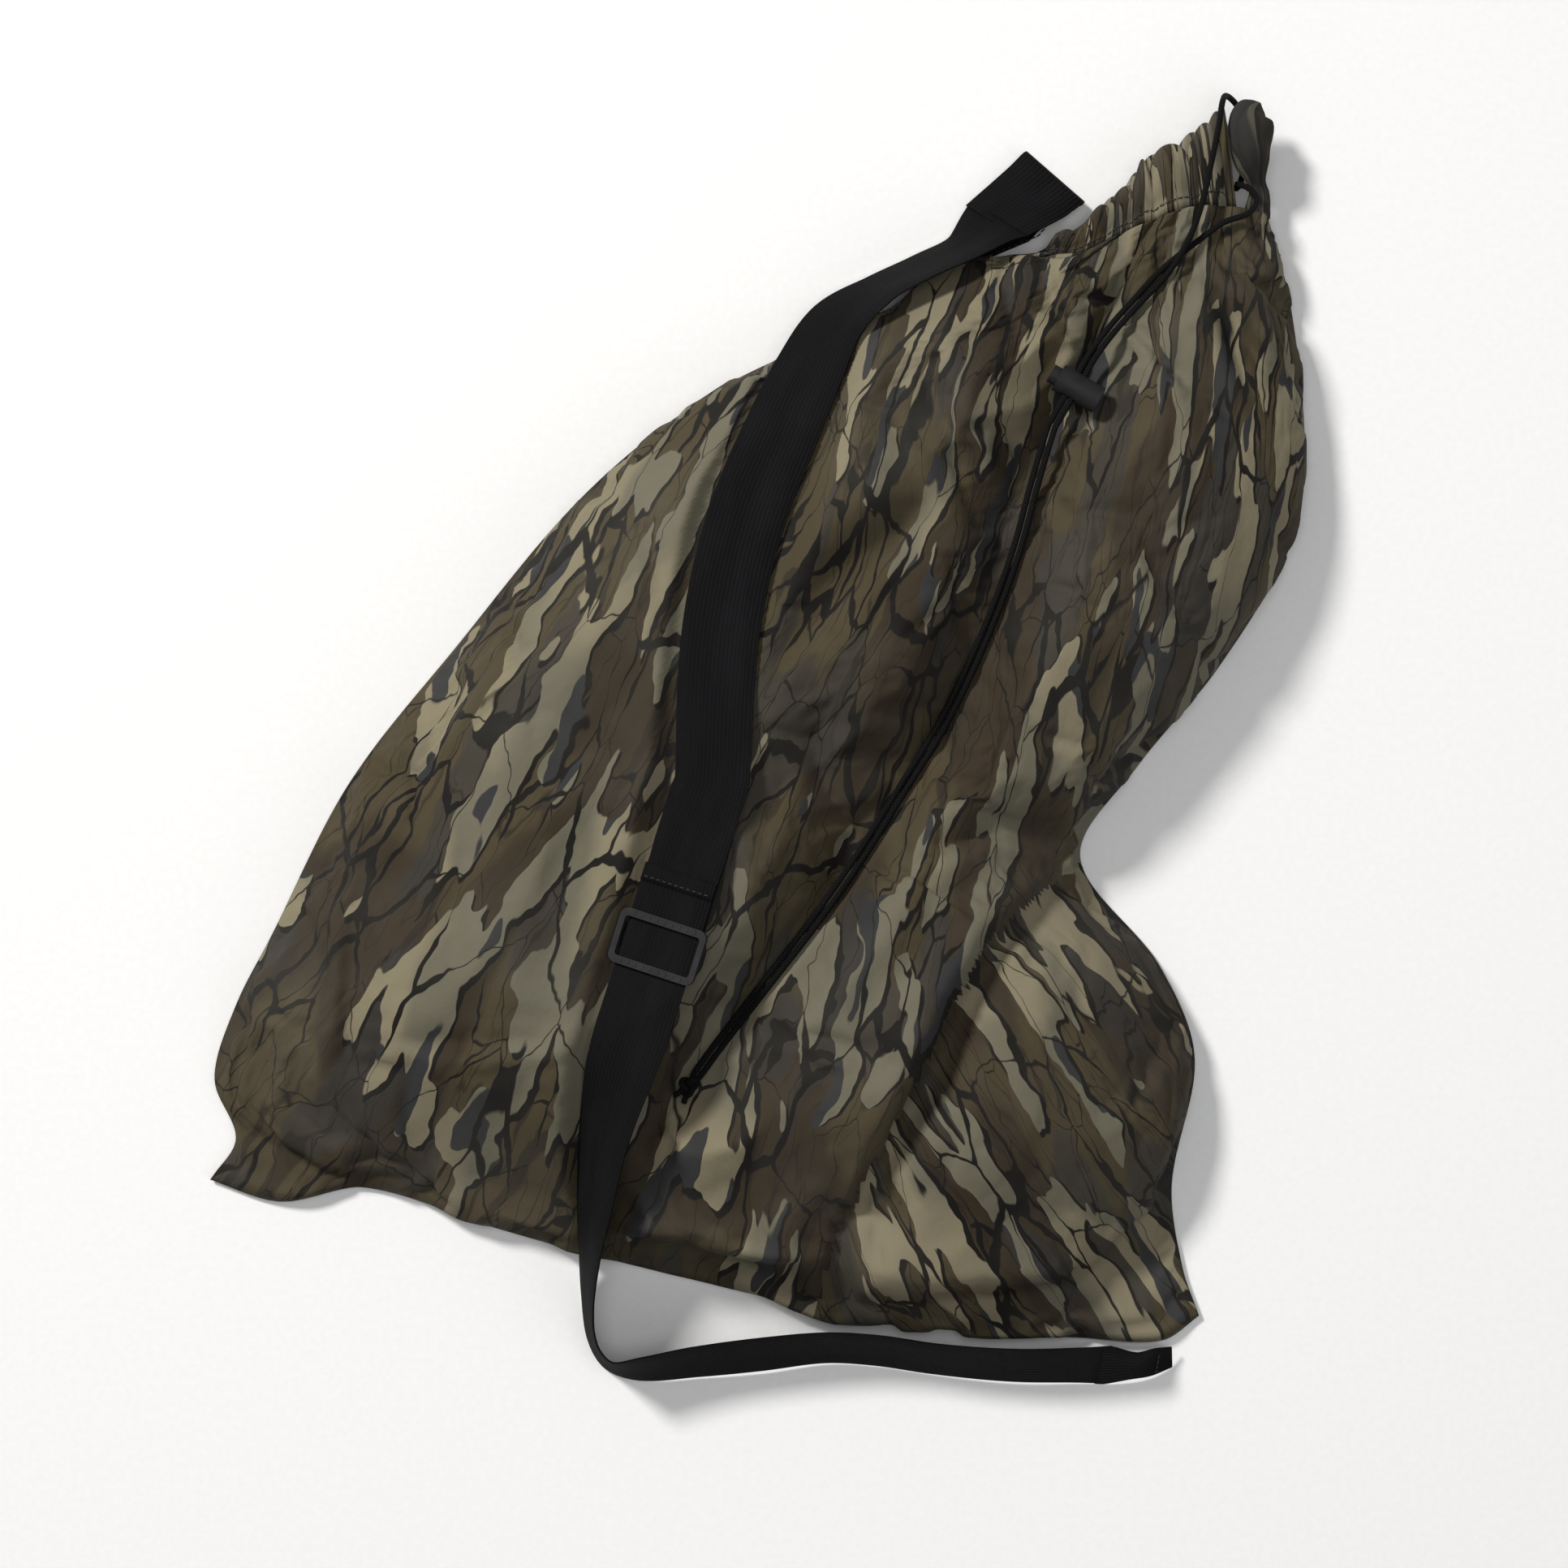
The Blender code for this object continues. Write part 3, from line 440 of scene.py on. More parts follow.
TAN = (0.190, 0.165, 0.106)
STONE = (0.122, 0.112, 0.078)
BROWN = (0.031, 0.022, 0.012)
OLIVE = (0.052, 0.040, 0.020)
DARK_BROWN = (0.016, 0.012, 0.008)
SLATE = (0.024, 0.0245, 0.026)
CRACK = (0.005, 0.004, 0.003)


def camouflage(name="bark camouflage fabric", shade=1.0):
    """A generic tree-bark print: brown ground, pale bark strips, slate patches and cracks."""
    m = Maker(name)
    flat = m.cloth()

    def tone(colour):
        return tuple(shade * part for part in colour)

    drift = m.noise(m.scaled(flat, 22, 9, 1.7), 2.0, 0.55, out=1)
    small = m.noise(m.scaled(flat, 150, 60, 5.1), 1.0, 0.5, out=1)
    bent = m.vector("MULTIPLY_ADD", drift, (0.030, 0.040, 0.0), flat)
    bent = m.vector("MULTIPLY_ADD", small, (0.0045, 0.010, 0.0), bent)

    worn = m.ramp(m.noise(m.scaled(bent, 15, 5, 2.0)), 0.47, 0.53)
    ground = m.mix(worn, tone(BROWN), tone(OLIVE))
    soft = m.noise(m.scaled(bent, 30, 6, 21.0))
    ground = m.mix(m.math("MULTIPLY", m.ramp(soft, 0.56, 0.60), 0.55), ground, tone(SLATE))
    for seed, across, along in ((3.0, 46, 4.2), (6.0, 85, 6.5)):
        grain = m.noise(m.scaled(bent, across, along, seed), 1.0, 0.4)
        off_line = m.math("ABSOLUTE", m.math("SUBTRACT", grain, 0.5))
        breaks = m.noise(m.scaled(bent, 24, 9, seed + 30), 1.0)
        line = m.ramp(m.math("SUBTRACT", off_line, m.ramp(breaks, 0.46, 3.2)), 0.009, -0.003)
        ground = m.mix(m.math("MULTIPLY", line, 0.7), ground, tone(DARK_BROWN))

    blobs = m.ramp(m.noise(m.scaled(bent, 11, 4.2, 12.0), 0.0), 0.54, 0.60)

    def strips(place):
        wide = m.noise(m.scaled(place, 62, 9.5, 8.0), 1.0, 0.4)
        ragged = m.noise(m.scaled(place, 130, 26, 9.0), 0.0, 0.5)
        total = m.math("MULTIPLY_ADD", ragged, 0.18, m.math("SUBTRACT", wide, 0.09))
        return m.math("SUBTRACT", total, m.math("MULTIPLY", blobs, 0.22))

    beside_it = m.vector("ADD", bent, (-0.0020, 0.0030, 0.0))
    pale_mask = m.ramp(strips(bent), 0.510, 0.518)
    rim = m.ramp(strips(beside_it), 0.506, 0.514)
    greyer = m.ramp(m.noise(m.scaled(bent, 16, 6, 4.4)), 0.48, 0.56)
    pale = m.mix(greyer, tone(TAN), tone(STONE))
    slate_noise = m.noise(m.scaled(bent, 60, 12, 15.0), 1.0, 0.4)
    pale = m.mix(m.ramp(slate_noise, 0.605, 0.615), pale, tone(SLATE))

    def cracked(under, seed, across, along, width):
        lines = m.add(
            "ShaderNodeTexVoronoi",
            {"Vector": m.scaled(bent, across, along, seed), "Scale": 1.0, "Randomness": 1.0},
            feature="DISTANCE_TO_EDGE",
        )
        breaks = m.noise(m.scaled(bent, 18, 9, seed + 3), 1.0)
        half = m.math("MULTIPLY", m.ramp(breaks, 0.48, 0.62), width)
        gone = m.math("SUBTRACT", lines, half)
        return m.mix(m.ramp(gone, 0.010, 0.0), under, tone(CRACK))

    colour = m.mix(rim, cracked(ground, 55.0, 62, 12.0, 0.042), tone(CRACK))
    colour = m.mix(pale_mask, colour, pale)
    colour = cracked(colour, 40.0, 34, 8.5, 0.030)

    fade = m.noise(m.scaled(flat, 9, 7, 70.0), 3.0, 0.6)
    colour = m.mix(m.ramp(fade, 0.30, 0.85), colour, m.mix(0.12, colour, (0.20, 0.19, 0.16)))

    weave = m.math("MULTIPLY", m.bands(flat, "X", 420.0), m.bands(flat, "Y", 420.0))
    creases = m.noise(m.scaled(flat, 60, 38, 80.0), 4.0, 0.6)
    fine = m.bump(weave, 0.00025, 0.35)
    normal = m.bump(creases, 0.0022, 0.55, fine)
    m.set(
        Base_Color=colour,
        Roughness=m.ramp(m.noise(m.scaled(flat, 40, 40, 90.0), 3.0), -1.6, 1.2),
        Normal=normal,
    )
    m.set(Specular_IOR_Level=0.22)
    return m.material


def webbing_finish():
    """Black ribbed webbing: rows of yarn along it, crossed by the weft."""
    m = Maker("black webbing")
    flat = m.cloth()
    ribs = m.bands(flat, "X", 125.0)
    weft = m.bands(flat, "Y", 190.0, Distortion=1.2, Detail=1.0, Detail_Scale=3.0)
    yarn = m.math("MULTIPLY", ribs, m.math("MULTIPLY_ADD", weft, 0.6, 0.4))
    wear = m.noise(m.scaled(flat, 60, 14, 3.0), 3.0, 0.6)
    colour = m.mix(m.ramp(wear, 0.35, 0.8), (0.0030, 0.0030, 0.0036), (0.0070, 0.0070, 0.0080))
    colour = m.mix(m.ramp(yarn, 0.1, 0.9), colour, (0.0060, 0.0060, 0.0070))
    m.set(Base_Color=colour, Normal=m.bump(yarn, 0.0006, 0.7))
    m.set(Roughness=0.78, Specular_IOR_Level=0.07)
    return m.material


def cord_finish(name="braided black cord", strands=7.0, pitch=420.0):
    """A braid, from cloth coordinates of turns round and metres along."""
    m = Maker(name)
    flat = m.cloth()
    parts = m.add("ShaderNodeSeparateXYZ", {0: flat}).node
    turn = m.math("MULTIPLY", parts.outputs[0], 2 * math.pi * strands)
    run = m.math("MULTIPLY", parts.outputs[1], 2 * math.pi * pitch)
    one = m.math("SINE", m.math("ADD", turn, run))
    two = m.math("SINE", m.math("SUBTRACT", turn, run))
    braid = m.math("MAXIMUM", one, two)
    colour = m.mix(m.ramp(braid, -0.2, 1.0), (0.0020, 0.0020, 0.0022), (0.0075, 0.0075, 0.0082))
    m.set(Base_Color=colour, Normal=m.bump(braid, 0.0004, 0.8), Roughness=0.7)
    m.set(Specular_IOR_Level=0.1)
    return m.material


def thread_finish():
    m = Maker("twisted black thread")
    place = m.place()
    twist = m.noise(m.scaled(place, 900, 900, 2.0), 2.0)
    colour = m.mix(m.ramp(twist, 0.3, 0.7), (0.006, 0.006, 0.006), (0.020, 0.020, 0.021))
    m.set(Base_Color=colour, Normal=m.bump(twist, 0.0002, 0.6), Roughness=0.55)
    return m.material


def plastic_finish(name, dark, light, roughness):
    """Moulded plastic with a fine spark-eroded grain and slightly rubbed edges."""
    m = Maker(name)
    place = m.place()
    grain = m.noise(m.scaled(place, 2400, 2400, 1.0), 2.0, 0.6)
    cloud = m.noise(m.scaled(place, 90, 90, 6.0), 3.0, 0.6)
    edge = m.add("ShaderNodeNewGeometry").node.outputs["Pointiness"]
    colour = m.mix(m.ramp(cloud, 0.3, 0.8), dark, light)
    rubbed = tuple(1.3 * part for part in light)
    colour = m.mix(m.math("MULTIPLY", m.ramp(edge, 0.52, 0.62), 0.6), colour, rubbed)
    m.set(Base_Color=colour, Normal=m.bump(grain, 0.00008, 0.5))
    m.set(Roughness=m.ramp(cloud, -1.6 * roughness, 1.2))
    m.set(Specular_IOR_Level=0.22)
    return m.material


def steel_finish():
    m = Maker("spring steel")
    place = m.place()
    drawn = m.noise(m.scaled(place, 800, 800, 3.0), 3.0)
    colour = m.mix(m.ramp(drawn, 0.3, 0.7), (0.36, 0.36, 0.37), (0.52, 0.52, 0.53))
    m.set(Base_Color=colour, Normal=m.bump(drawn, 0.00005, 0.4), Metallic=1.0, Roughness=0.32)
    return m.material


CAMOUFLAGE = camouflage()
COVER_CLOTH = camouflage("folded cover cloth", 0.8)
# The camouflage at 0.45 of its brightness, for the vent flap: painted shade on the panel's own
# fabric.
SHADED_FLAP_CLOTH = camouflage("camouflage darkened as painted shade", 0.45)
WEBBING_FINISH = webbing_finish()
CORD_FINISH = cord_finish()
THREAD_FINISH = thread_finish()
SLIDER_FINISH = plastic_finish(
    "grey moulded plastic", (0.011, 0.011, 0.012), (0.017, 0.017, 0.018), 0.42
)
LOCK_FINISH = plastic_finish(
    "black moulded plastic", (0.006, 0.006, 0.006), (0.012, 0.012, 0.013), 0.40
)
STEEL_FINISH = steel_finish()

# ---- The bag's fabric ---------------------------------------------------------------------

left_edge = smooth_line(LEFT_EDGE)
right_edge = smooth_line(RIGHT_EDGE)
bottom_edge = smooth_line(BOTTOM_EDGE)
hem_stitch = smooth_line(HEM_STITCH)
hem_top = smooth_line(HEM_TOP)
valley_line = smooth_line([point[:2] for point in FRONT_STRAND_ABOVE[4:] + STRANDS_BELOW_LOCK])


def bag_point(a, b):
    """The place in plan of a point of either panel: a runs left to right, b bottom to mouth."""
    a1, b1 = a[..., None], b[..., None]
    sides = left_edge(b) * (1 - a1) + right_edge(b) * a1
    ends = bottom_edge(a) * (1 - b1) + hem_stitch(a) * b1
    corners = (
        bottom_edge(0.0) * (1 - a1) * (1 - b1)
        + bottom_edge(1.0) * a1 * (1 - b1)
        + hem_stitch(0.0) * (1 - a1) * b1
        + hem_stitch(1.0) * a1 * b1
    )
    return sides + ends - corners


AT_ONCE = 8000  # places compared with a line's points at a time, to keep memory small


def nearest_points(flat, points):
    """Which of the points is nearest in plan to each place, and how far away it is."""
    nearest, distance = np.empty(len(flat), int), np.empty(len(flat))
    for start in range(0, len(flat), AT_ONCE):
        piece = slice(start, start + AT_ONCE)
        gaps = ((flat[piece, None, :] - points[None]) ** 2).sum(-1)
        found = gaps.argmin(1)
        nearest[piece] = found
        distance[piece] = np.sqrt(gaps[np.arange(len(found)), found])
    return nearest, distance


def beside(line, place, samples=160):
    """Signed distance in plan from a smooth line, positive on its left, and the share along it."""
    shares = np.linspace(0, 1, samples)
    points = line(shares)[:, :2]
    flat = place.reshape(-1, 2)
    nearest, _ = nearest_points(flat, points)
    last = samples - 1
    ahead = points[np.clip(nearest + 1, 0, last)] - points[np.clip(nearest - 1, 0, last)]
    ahead /= np.linalg.norm(ahead, axis=1, keepdims=True)
    away = flat - points[nearest]
    side = ahead[:, 0] * away[:, 1] - ahead[:, 1] * away[:, 0]
    distance = np.linalg.norm(away, axis=1) * np.sign(side)
    return distance.reshape(place.shape[:-1]), shares[nearest].reshape(place.shape[:-1])


# Folds seen on the front: a line in plan, the rise on its left and on its right, how far each
# reaches, and the width of the edge between them
FOLDS = [
    ([(0.200, 0.243), (0.142, 0.191), (0.083, 0.143), (0.036, 0.106), (0.000, 0.060)],
     -0.024, 0.014, 0.050, 0.045, 0.008),
    ([(-0.005, 0.236), (-0.095, 0.155), (-0.175, 0.065), (-0.240, -0.030)],
     -0.011, 0.006, 0.030, 0.030, 0.006),
    ([(0.212, -0.074), (0.163, -0.111), (0.140, -0.133), (0.104, -0.201), (0.078, -0.254),
      (0.056, -0.300)],
     -0.019, 0.014, 0.035, 0.040, 0.005),
    ([(0.214, -0.074), (0.240, -0.105), (0.262, -0.150), (0.275, -0.205)],
     0.006, -0.012, 0.030, 0.026, 0.005),
    ([(0.205, -0.072), (0.160, -0.060), (0.120, -0.075)],
     0.005, -0.009, 0.030, 0.022, 0.005),
    ([(-0.226, -0.188), (-0.170, -0.190), (-0.123, -0.186)],
     -0.008, 0.006, 0.022, 0.022, 0.004),
    ([(0.215, -0.342), (0.238, -0.314), (0.266, -0.288)],
     0.008, -0.013, 0.022, 0.022, 0.004),
    ([(-0.335, -0.244), (-0.282, -0.272), (-0.240, -0.284)],
     0.012, -0.008, 0.025, 0.020, 0.005),
    ([(0.304, 0.340), (0.314, 0.3135), (0.338, 0.291)],
     0.005, -0.007, 0.014, 0.014, 0.003),
    ([(0.297, 0.306), (0.316, 0.257), (0.340, 0.229)],
     0.006, -0.008, 0.018, 0.018, 0.003),
    ([(0.291, 0.336), (0.290, 0.302), (0.292, 0.274), (0.310, 0.200)],
     -0.007, 0.006, 0.016, 0.018, 0.004),
    ([(0.198, 0.3135), (0.1966, 0.2987), (0.210, 0.2647)],
     0.006, -0.008, 0.014, 0.014, 0.004),
    ([(0.236, 0.321), (0.225, 0.285), (0.197, 0.234), (0.170, 0.200)],
     -0.012, 0.004, 0.020, 0.030, 0.006),
    ([(-0.205, 0.030), (-0.245, -0.060), (-0.262, -0.150), (-0.255, -0.230)],
     -0.007, 0.006, 0.025, 0.030, 0.007),
    ([(-0.130, 0.080), (-0.165, -0.020), (-0.178, -0.110), (-0.172, -0.170)],
     0.006, -0.006, 0.030, 0.025, 0.007),
]  # fmt: skip
VALLEY_RIGHT_RISE = 0.018
VALLEY_LEFT_RISE = 0.015
OVERHANG = [(-0.110, -0.300), (-0.034, -0.321), (0.009, -0.330), (0.051, -0.338), (0.115, -0.344),
            (0.189, -0.342), (0.225, -0.338)]  # fmt: skip

ACROSS, ALONG = 200, 240  # faces of the front panel
GATHERS = 8.5
HEM_PUFFS = 7.5


def gathers(a):
    """Rounded puffs with sharp valleys between them, 0 to 1, along the mouth."""
    drift = 0.30 * np.sin(2 * math.pi * 1.3 * a + 0.6)
    phase = GATHERS * a + drift + 0.10 * np.sin(2 * math.pi * 3.1 * a)
    return np.abs(np.sin(math.pi * phase)) ** 0.7


def hem_puffs(a):
    """The rounded puffs of the gathered channel itself, fewer and fuller than the folds below."""
    phase = HEM_PUFFS * a + 0.16 * np.sin(2 * math.pi * 2.1 * a + 1.0)
    return np.abs(np.sin(math.pi * phase)) ** 0.5


def hem_half(a):
    return 0.0050 + 0.0042 * (1.0 - np.abs(2 * a - 1) ** 4)


def front_middle(a):
    return 3 * hem_half(a) + 0.0018


def back_middle(a):
    return hem_half(a) + 0.0008


def field(place, scale, seed, depth=3):
    """Cloudy noise from -1 to 1 over an array of places in plan, in cycles per metre."""
    flat = place.reshape(-1, 2)
    values = [
        noise.fractal((x * scale[0] + seed, y * scale[1] - seed, seed), 0.6, 2.1, depth)
        for x, y in flat
    ]
    return np.array(values).reshape(place.shape[:-1])


def ridges(place, scale, seed):
    """Crumple lines: 1 on creases between cells, falling to 0 inside them."""
    values = []
    for x, y in place.reshape(-1, 2):
        near = noise.voronoi((x * scale[0] + seed, y * scale[1], seed))[0]
        values.append(1.0 - min(1.0, (near[1] - near[0]) / 0.35))
    return np.array(values).reshape(place.shape[:-1]) ** 2


def small_wrinkles(a, b):
    """Short folds that run with the fabric, most of them towards the gathered mouth."""
    draw = random.Random(7)
    total = np.zeros_like(a)
    for _ in range(90):
        middle_a, middle_b = draw.uniform(0.04, 0.96), draw.uniform(0.05, 0.97)
        length = draw.uniform(0.05, 0.14)
        lean = draw.gauss(0.0, 0.22)
        width = draw.uniform(0.008, 0.018) / BAG_WIDTH
        height = draw.uniform(0.0012, 0.0034) * (1.0 + 0.6 * middle_b) * draw.choice((1, 1, -1))
        run = (b - middle_b) / length
        bow = draw.uniform(-0.02, 0.02) * run * run
        off = (a - middle_a - lean * (b - middle_b) - bow) / width
        skew = 1.0 + 0.5 * np.tanh(2 * off) * draw.choice((1, -1))
        total += height * np.exp(-((off * skew) ** 2)) * np.exp(-(run**2) ** 1.5)
    return total


def strap_frames(stations):
    """Middle, across and outward directions of the strap, at lengths from its mouth end."""
    shares = stations / strap_line.length
    here = strap_line(shares)
    step = 0.002 / strap_line.length
    run = strap_line(shares + step)[:, :3] - strap_line(shares - step)[:, :3]
    run /= np.linalg.norm(run, axis=1, keepdims=True)
    level = np.cross((0, 0, 1), run)
    level /= np.linalg.norm(level, axis=1, keepdims=True)
    up = np.cross(run, level)
    roll = np.radians(here[:, 3:4])
    across = level * np.cos(roll) + up * np.sin(roll)
    return here[:, :3], across, np.cross(run, across)


straight_rows = [(*(SLIDER_PLACE + STRAP_UP * reach), SLIDER_ROLL) for reach in STRAIGHT_RUN]
strap_rows = STRAP_ABOVE + straight_rows + STRAP_BELOW
strap_line = smooth_line(strap_rows)
SLIDER_STATION = smooth_line(strap_rows[: len(STRAP_ABOVE) + STRAIGHT_RUN.index(0.0) + 1]).length


def strand_points(above, side):
    """The free cord's route, as the CAD has it."""
    across = LOCK_HEADING.cross(Vector((0, 0, 1))).normalized()
    lock_run = [LOCK_PLACE - LOCK_HEADING * reach for reach in (0.024, 0.008, -0.008, -0.024)]
    pair = [Vector(point) for point in STRANDS_BELOW_LOCK]
    route = exit_start(front_middle if side > 0 else back_middle)
    route += [Vector(point) for point in above]
    route += [point + across * side * STRAND_SPACING / 2 for point in lock_run]
    for i, point in enumerate(pair):
        ahead = pair[min(i + 1, len(pair) - 1)]
        behind = pair[i - 1] if i else LOCK_PLACE
        sideways = (ahead - behind).cross(Vector((0, 0, 1))).normalized()
        route.append(point + sideways * side * STRAND_SPACING / 2)
    return [tuple(point) for point in route]


def channel_point(a, middle):
    x, y = hem_stitch(a) + (hem_top(a) - hem_stitch(a)) * CHANNEL_REACH
    return Vector((x, y, float(middle(a))))


def exit_start(middle):
    """A free strand's first two points, straight on from the end of the cord in its channel."""
    end = channel_point(CORD_EXIT, middle)
    onward = (end - channel_point(CORD_EXIT - 0.02, middle)).normalized()
    return [end + onward * EXIT_GAP, end + onward * 0.0050]


front_route = smooth_line(strand_points(FRONT_STRAND_ABOVE, 1))
back_route = smooth_line(strand_points(BACK_STRAND_ABOVE, -1))


CORD_CLEARANCE = 0.0026  # of the cloth under the middle of each piece that lies on it
KNOT_CLEARANCE = 0.0062
LOCK_CLEARANCE = 0.0118
STRAP_CLEARANCE = 0.0044
KNOT_REACH = 0.014  # how far out the cloth is held down round it
LOCK_REACH = 0.021
LOCK_TRAVEL = 0.008
BESIDE_SLOPE = 0.8  # how steeply the cloth rises again round the knot and the lock


def lay_under(places):
    """Press the fabric down where the cords, the lock and the strap lie on it."""
    height = places[..., 2].copy()
    plan = places[..., :2]
    for route in (front_route, back_route):
        away, share = beside(route, plan, 260)
        rise = np.maximum(0, np.abs(away) - CORD / 2) ** 2 / 0.008
        level = route(share)[..., 2] - CORD_CLEARANCE + rise
        height = np.minimum(height, np.where(share > 0.12, level, 1.0))
    knot = (front_route(1.0) + back_route(1.0)) / 2
    knot_away = np.linalg.norm(plan - knot[:2], axis=-1)
    knot_rise = np.maximum(0.0, knot_away - KNOT_REACH) * BESIDE_SLOPE
    height = np.minimum(height, knot[2] - KNOT_CLEARANCE + knot_rise)
    heading = np.array(LOCK_HEADING)[:2]
    aside = plan - np.array(LOCK_PLACE)[:2]
    along = np.clip(aside @ heading, -LOCK_TRAVEL, LOCK_TRAVEL)
    lock_away = np.linalg.norm(aside - along[..., None] * heading, axis=-1)
    lock_rise = np.maximum(0.0, lock_away - LOCK_REACH) * BESIDE_SLOPE
    height = np.minimum(height, LOCK_PLACE.z - LOCK_CLEARANCE + lock_rise)
    stations = np.linspace(0.02, strap_line.length - 0.02, 300)
    middle, across, outward = strap_frames(stations)
    for reach in np.linspace(-0.5, 0.5, 9):
        row = middle + across * WEBBING_WIDTH * reach - outward * STRAP_CLEARANCE
        nearest, distance = nearest_points(plan.reshape(-1, 2), row[:, :2])
        level = row[nearest, 2] + np.maximum(0.0, distance - 0.004) * 1.2
        height = np.minimum(height, level.reshape(height.shape))
    return height


def front_height(a, b, place):
    """Height of the front panel's upper face over the ground."""
    swell = np.clip(1.0 - np.abs(2 * a - 1) ** 3, 0, 1)
    overhang_away, overhang_share = beside(smooth_line(OVERHANG), place)
    ramp = smooth_step(0.02, 0.17, b)
    in_overhang = smooth_step(0.0, 0.12, overhang_share) * smooth_step(1.0, 0.9, overhang_share)
    cliff = 0.5 + 0.5 * np.tanh(overhang_away / 0.006)
    near = np.exp(-((overhang_away / 0.035) ** 2)) * in_overhang
    stepped = 0.08 + 0.62 * cliff + 0.3 * smooth_step(0.0, 0.05, overhang_away)
    ramp = ramp * (1 - near) + stepped * near
    fullness = CROWN_LOW + CROWN_FULL * ramp
    fullness *= 1.0 - (1.0 - MOUTH_SHARE) * smooth_step(0.62, 1.0, b)
    away, along = beside(valley_line, place, 240)
    fold = 1.0 - VALLEY_SHARE * np.exp(-((away / VALLEY_WIDTH) ** 2))
    height = fullness * swell**0.55 * fold
    inside = np.clip(swell**0.5, 0, 1) * smooth_step(0.0, 0.06, b)
    shape = VALLEY_RIGHT_RISE * np.exp(-(((away - 0.034) / 0.024) ** 2))
    left_side = VALLEY_LEFT_RISE * (1.0 - 0.6 * along) * smooth_step(0.0, 0.06, along)
    shape += left_side * np.exp(-(((away + 0.040) / 0.022) ** 2))
    for points, left_rise, right_rise, left_reach, right_reach, edge in FOLDS:
        distance, share = beside(smooth_line(points), place)
        taper = np.sin(math.pi * np.clip(share * 0.96 + 0.02, 0, 1)) ** 0.5
        side = 0.5 + 0.5 * np.tanh(distance / edge)
        left = left_rise * np.exp(-((distance / left_reach) ** 2))
        right = right_rise * np.exp(-((distance / right_reach) ** 2))
        shape += (left * side + right * (1 - side)) * taper
    shape += 0.0045 * field(place, (9, 7), 3.1)
    shape += small_wrinkles(a, b)
    shape -= 0.0022 * ridges(place, (15, 10), 5.0)
    mouth = smooth_step(0.62, 1.0, b)
    shape += 0.012 * mouth * (gathers(a * 0.5 + 0.02) - 0.6)
    shape += 0.008 * mouth**2.2 * (gathers(a) - 0.6)
    height = height + shape * inside
    target = front_middle(a) + 0.35 * hem_half(a) + 0.007 * (gathers(a) - 0.6) - EDGE_TOP
    height = height * (1 - smooth_step(0.88, 1.0, b)) + target * smooth_step(0.88, 1.0, b)
    return EDGE_TOP + height * smooth_step(-0.02, 0.10, swell)


FAN_POINT = np.array((0.42, 0.98))  # the bark strips point at this place beyond the mouth
FAN_RADIUS = 0.95  # where an arc round it has its true length
NOTCH_FOLD = [(0.212, -0.074), (0.163, -0.111), (0.140, -0.133), (0.104, -0.201), (0.078, -0.254),
              (0.056, -0.300), (0.040, -0.345)]  # fmt: skip
TURN_BEYOND_FOLD = math.radians(34)
BACK_CLOTH_SHIFT = 2.0  # so the back shows another part of the print


def cloth_coordinates(place):
    """Metres of cloth across and along at a place in plan, on the main cloth and on the cloth
    beyond the notch fold, and whether the place is beyond it."""
    away = place - FAN_POINT
    angle = np.arctan2(away[..., 0], -away[..., 1])
    main = np.stack([angle * FAN_RADIUS + 2.0, 3.0 - np.linalg.norm(away, axis=-1)], axis=-1)
    fold_side, _ = beside(smooth_line(NOTCH_FOLD), place)
    local = place - np.array(NOTCH_FOLD[0])
    cos, sin = math.cos(TURN_BEYOND_FOLD), math.sin(TURN_BEYOND_FOLD)
    x, y = local[..., 0], local[..., 1]
    turned = np.stack([x * cos + y * sin + 5.0, y * cos - x * sin + 5.0], axis=-1)
    return main, turned, (fold_side > 0) & (place[..., 1] < NOTCH_FOLD[0][1])


def lay_cloth(mesh, place, shift=0.0):
    """Gives each face of a panel the cloth on its own side of the notch fold."""
    main, turned, beyond = cloth_coordinates(place)
    corners = np.empty(len(mesh.loops), int)
    mesh.loops.foreach_get("vertex_index", corners)
    faces = corners.reshape(-1, 4)
    past = beyond.reshape(-1)[faces].mean(axis=1)[:, None, None] > 0.5
    chosen = np.where(past, turned.reshape(-1, 2)[faces], main.reshape(-1, 2)[faces])
    chosen[..., 0] += shift
    mesh.uv_layers["cloth"].data.foreach_set("uv", chosen.astype(np.float32).ravel())


def even_shares(count, crowd):
    """0..1 with the steps a little closer towards both ends."""
    share = np.linspace(0, 1, count)
    return share - crowd * np.sin(2 * math.pi * share) / (2 * math.pi)


SETTLE_FRAMES = 22
SETTLE_GROWTH = -0.05  # below 0 the cloth grows, and so buckles
SETTLE_CAP = 0.014  # how far a point may move
SETTLE = {
    "quality": 7, "mass": 0.15, "tension_stiffness": 25, "compression_stiffness": 25,
    "shear_stiffness": 12, "bending_stiffness": 0.05, "vertex_group_mass": "held",
    "shrink_min": SETTLE_GROWTH, "use_pressure": True, "uniform_pressure_force": 1.0,
}  # fmt: skip
FLOOR_GAP = 0.0042  # the front panel's lowest height
SHOWN_CLOTH = 0.0008  # thickness of a fabric piece


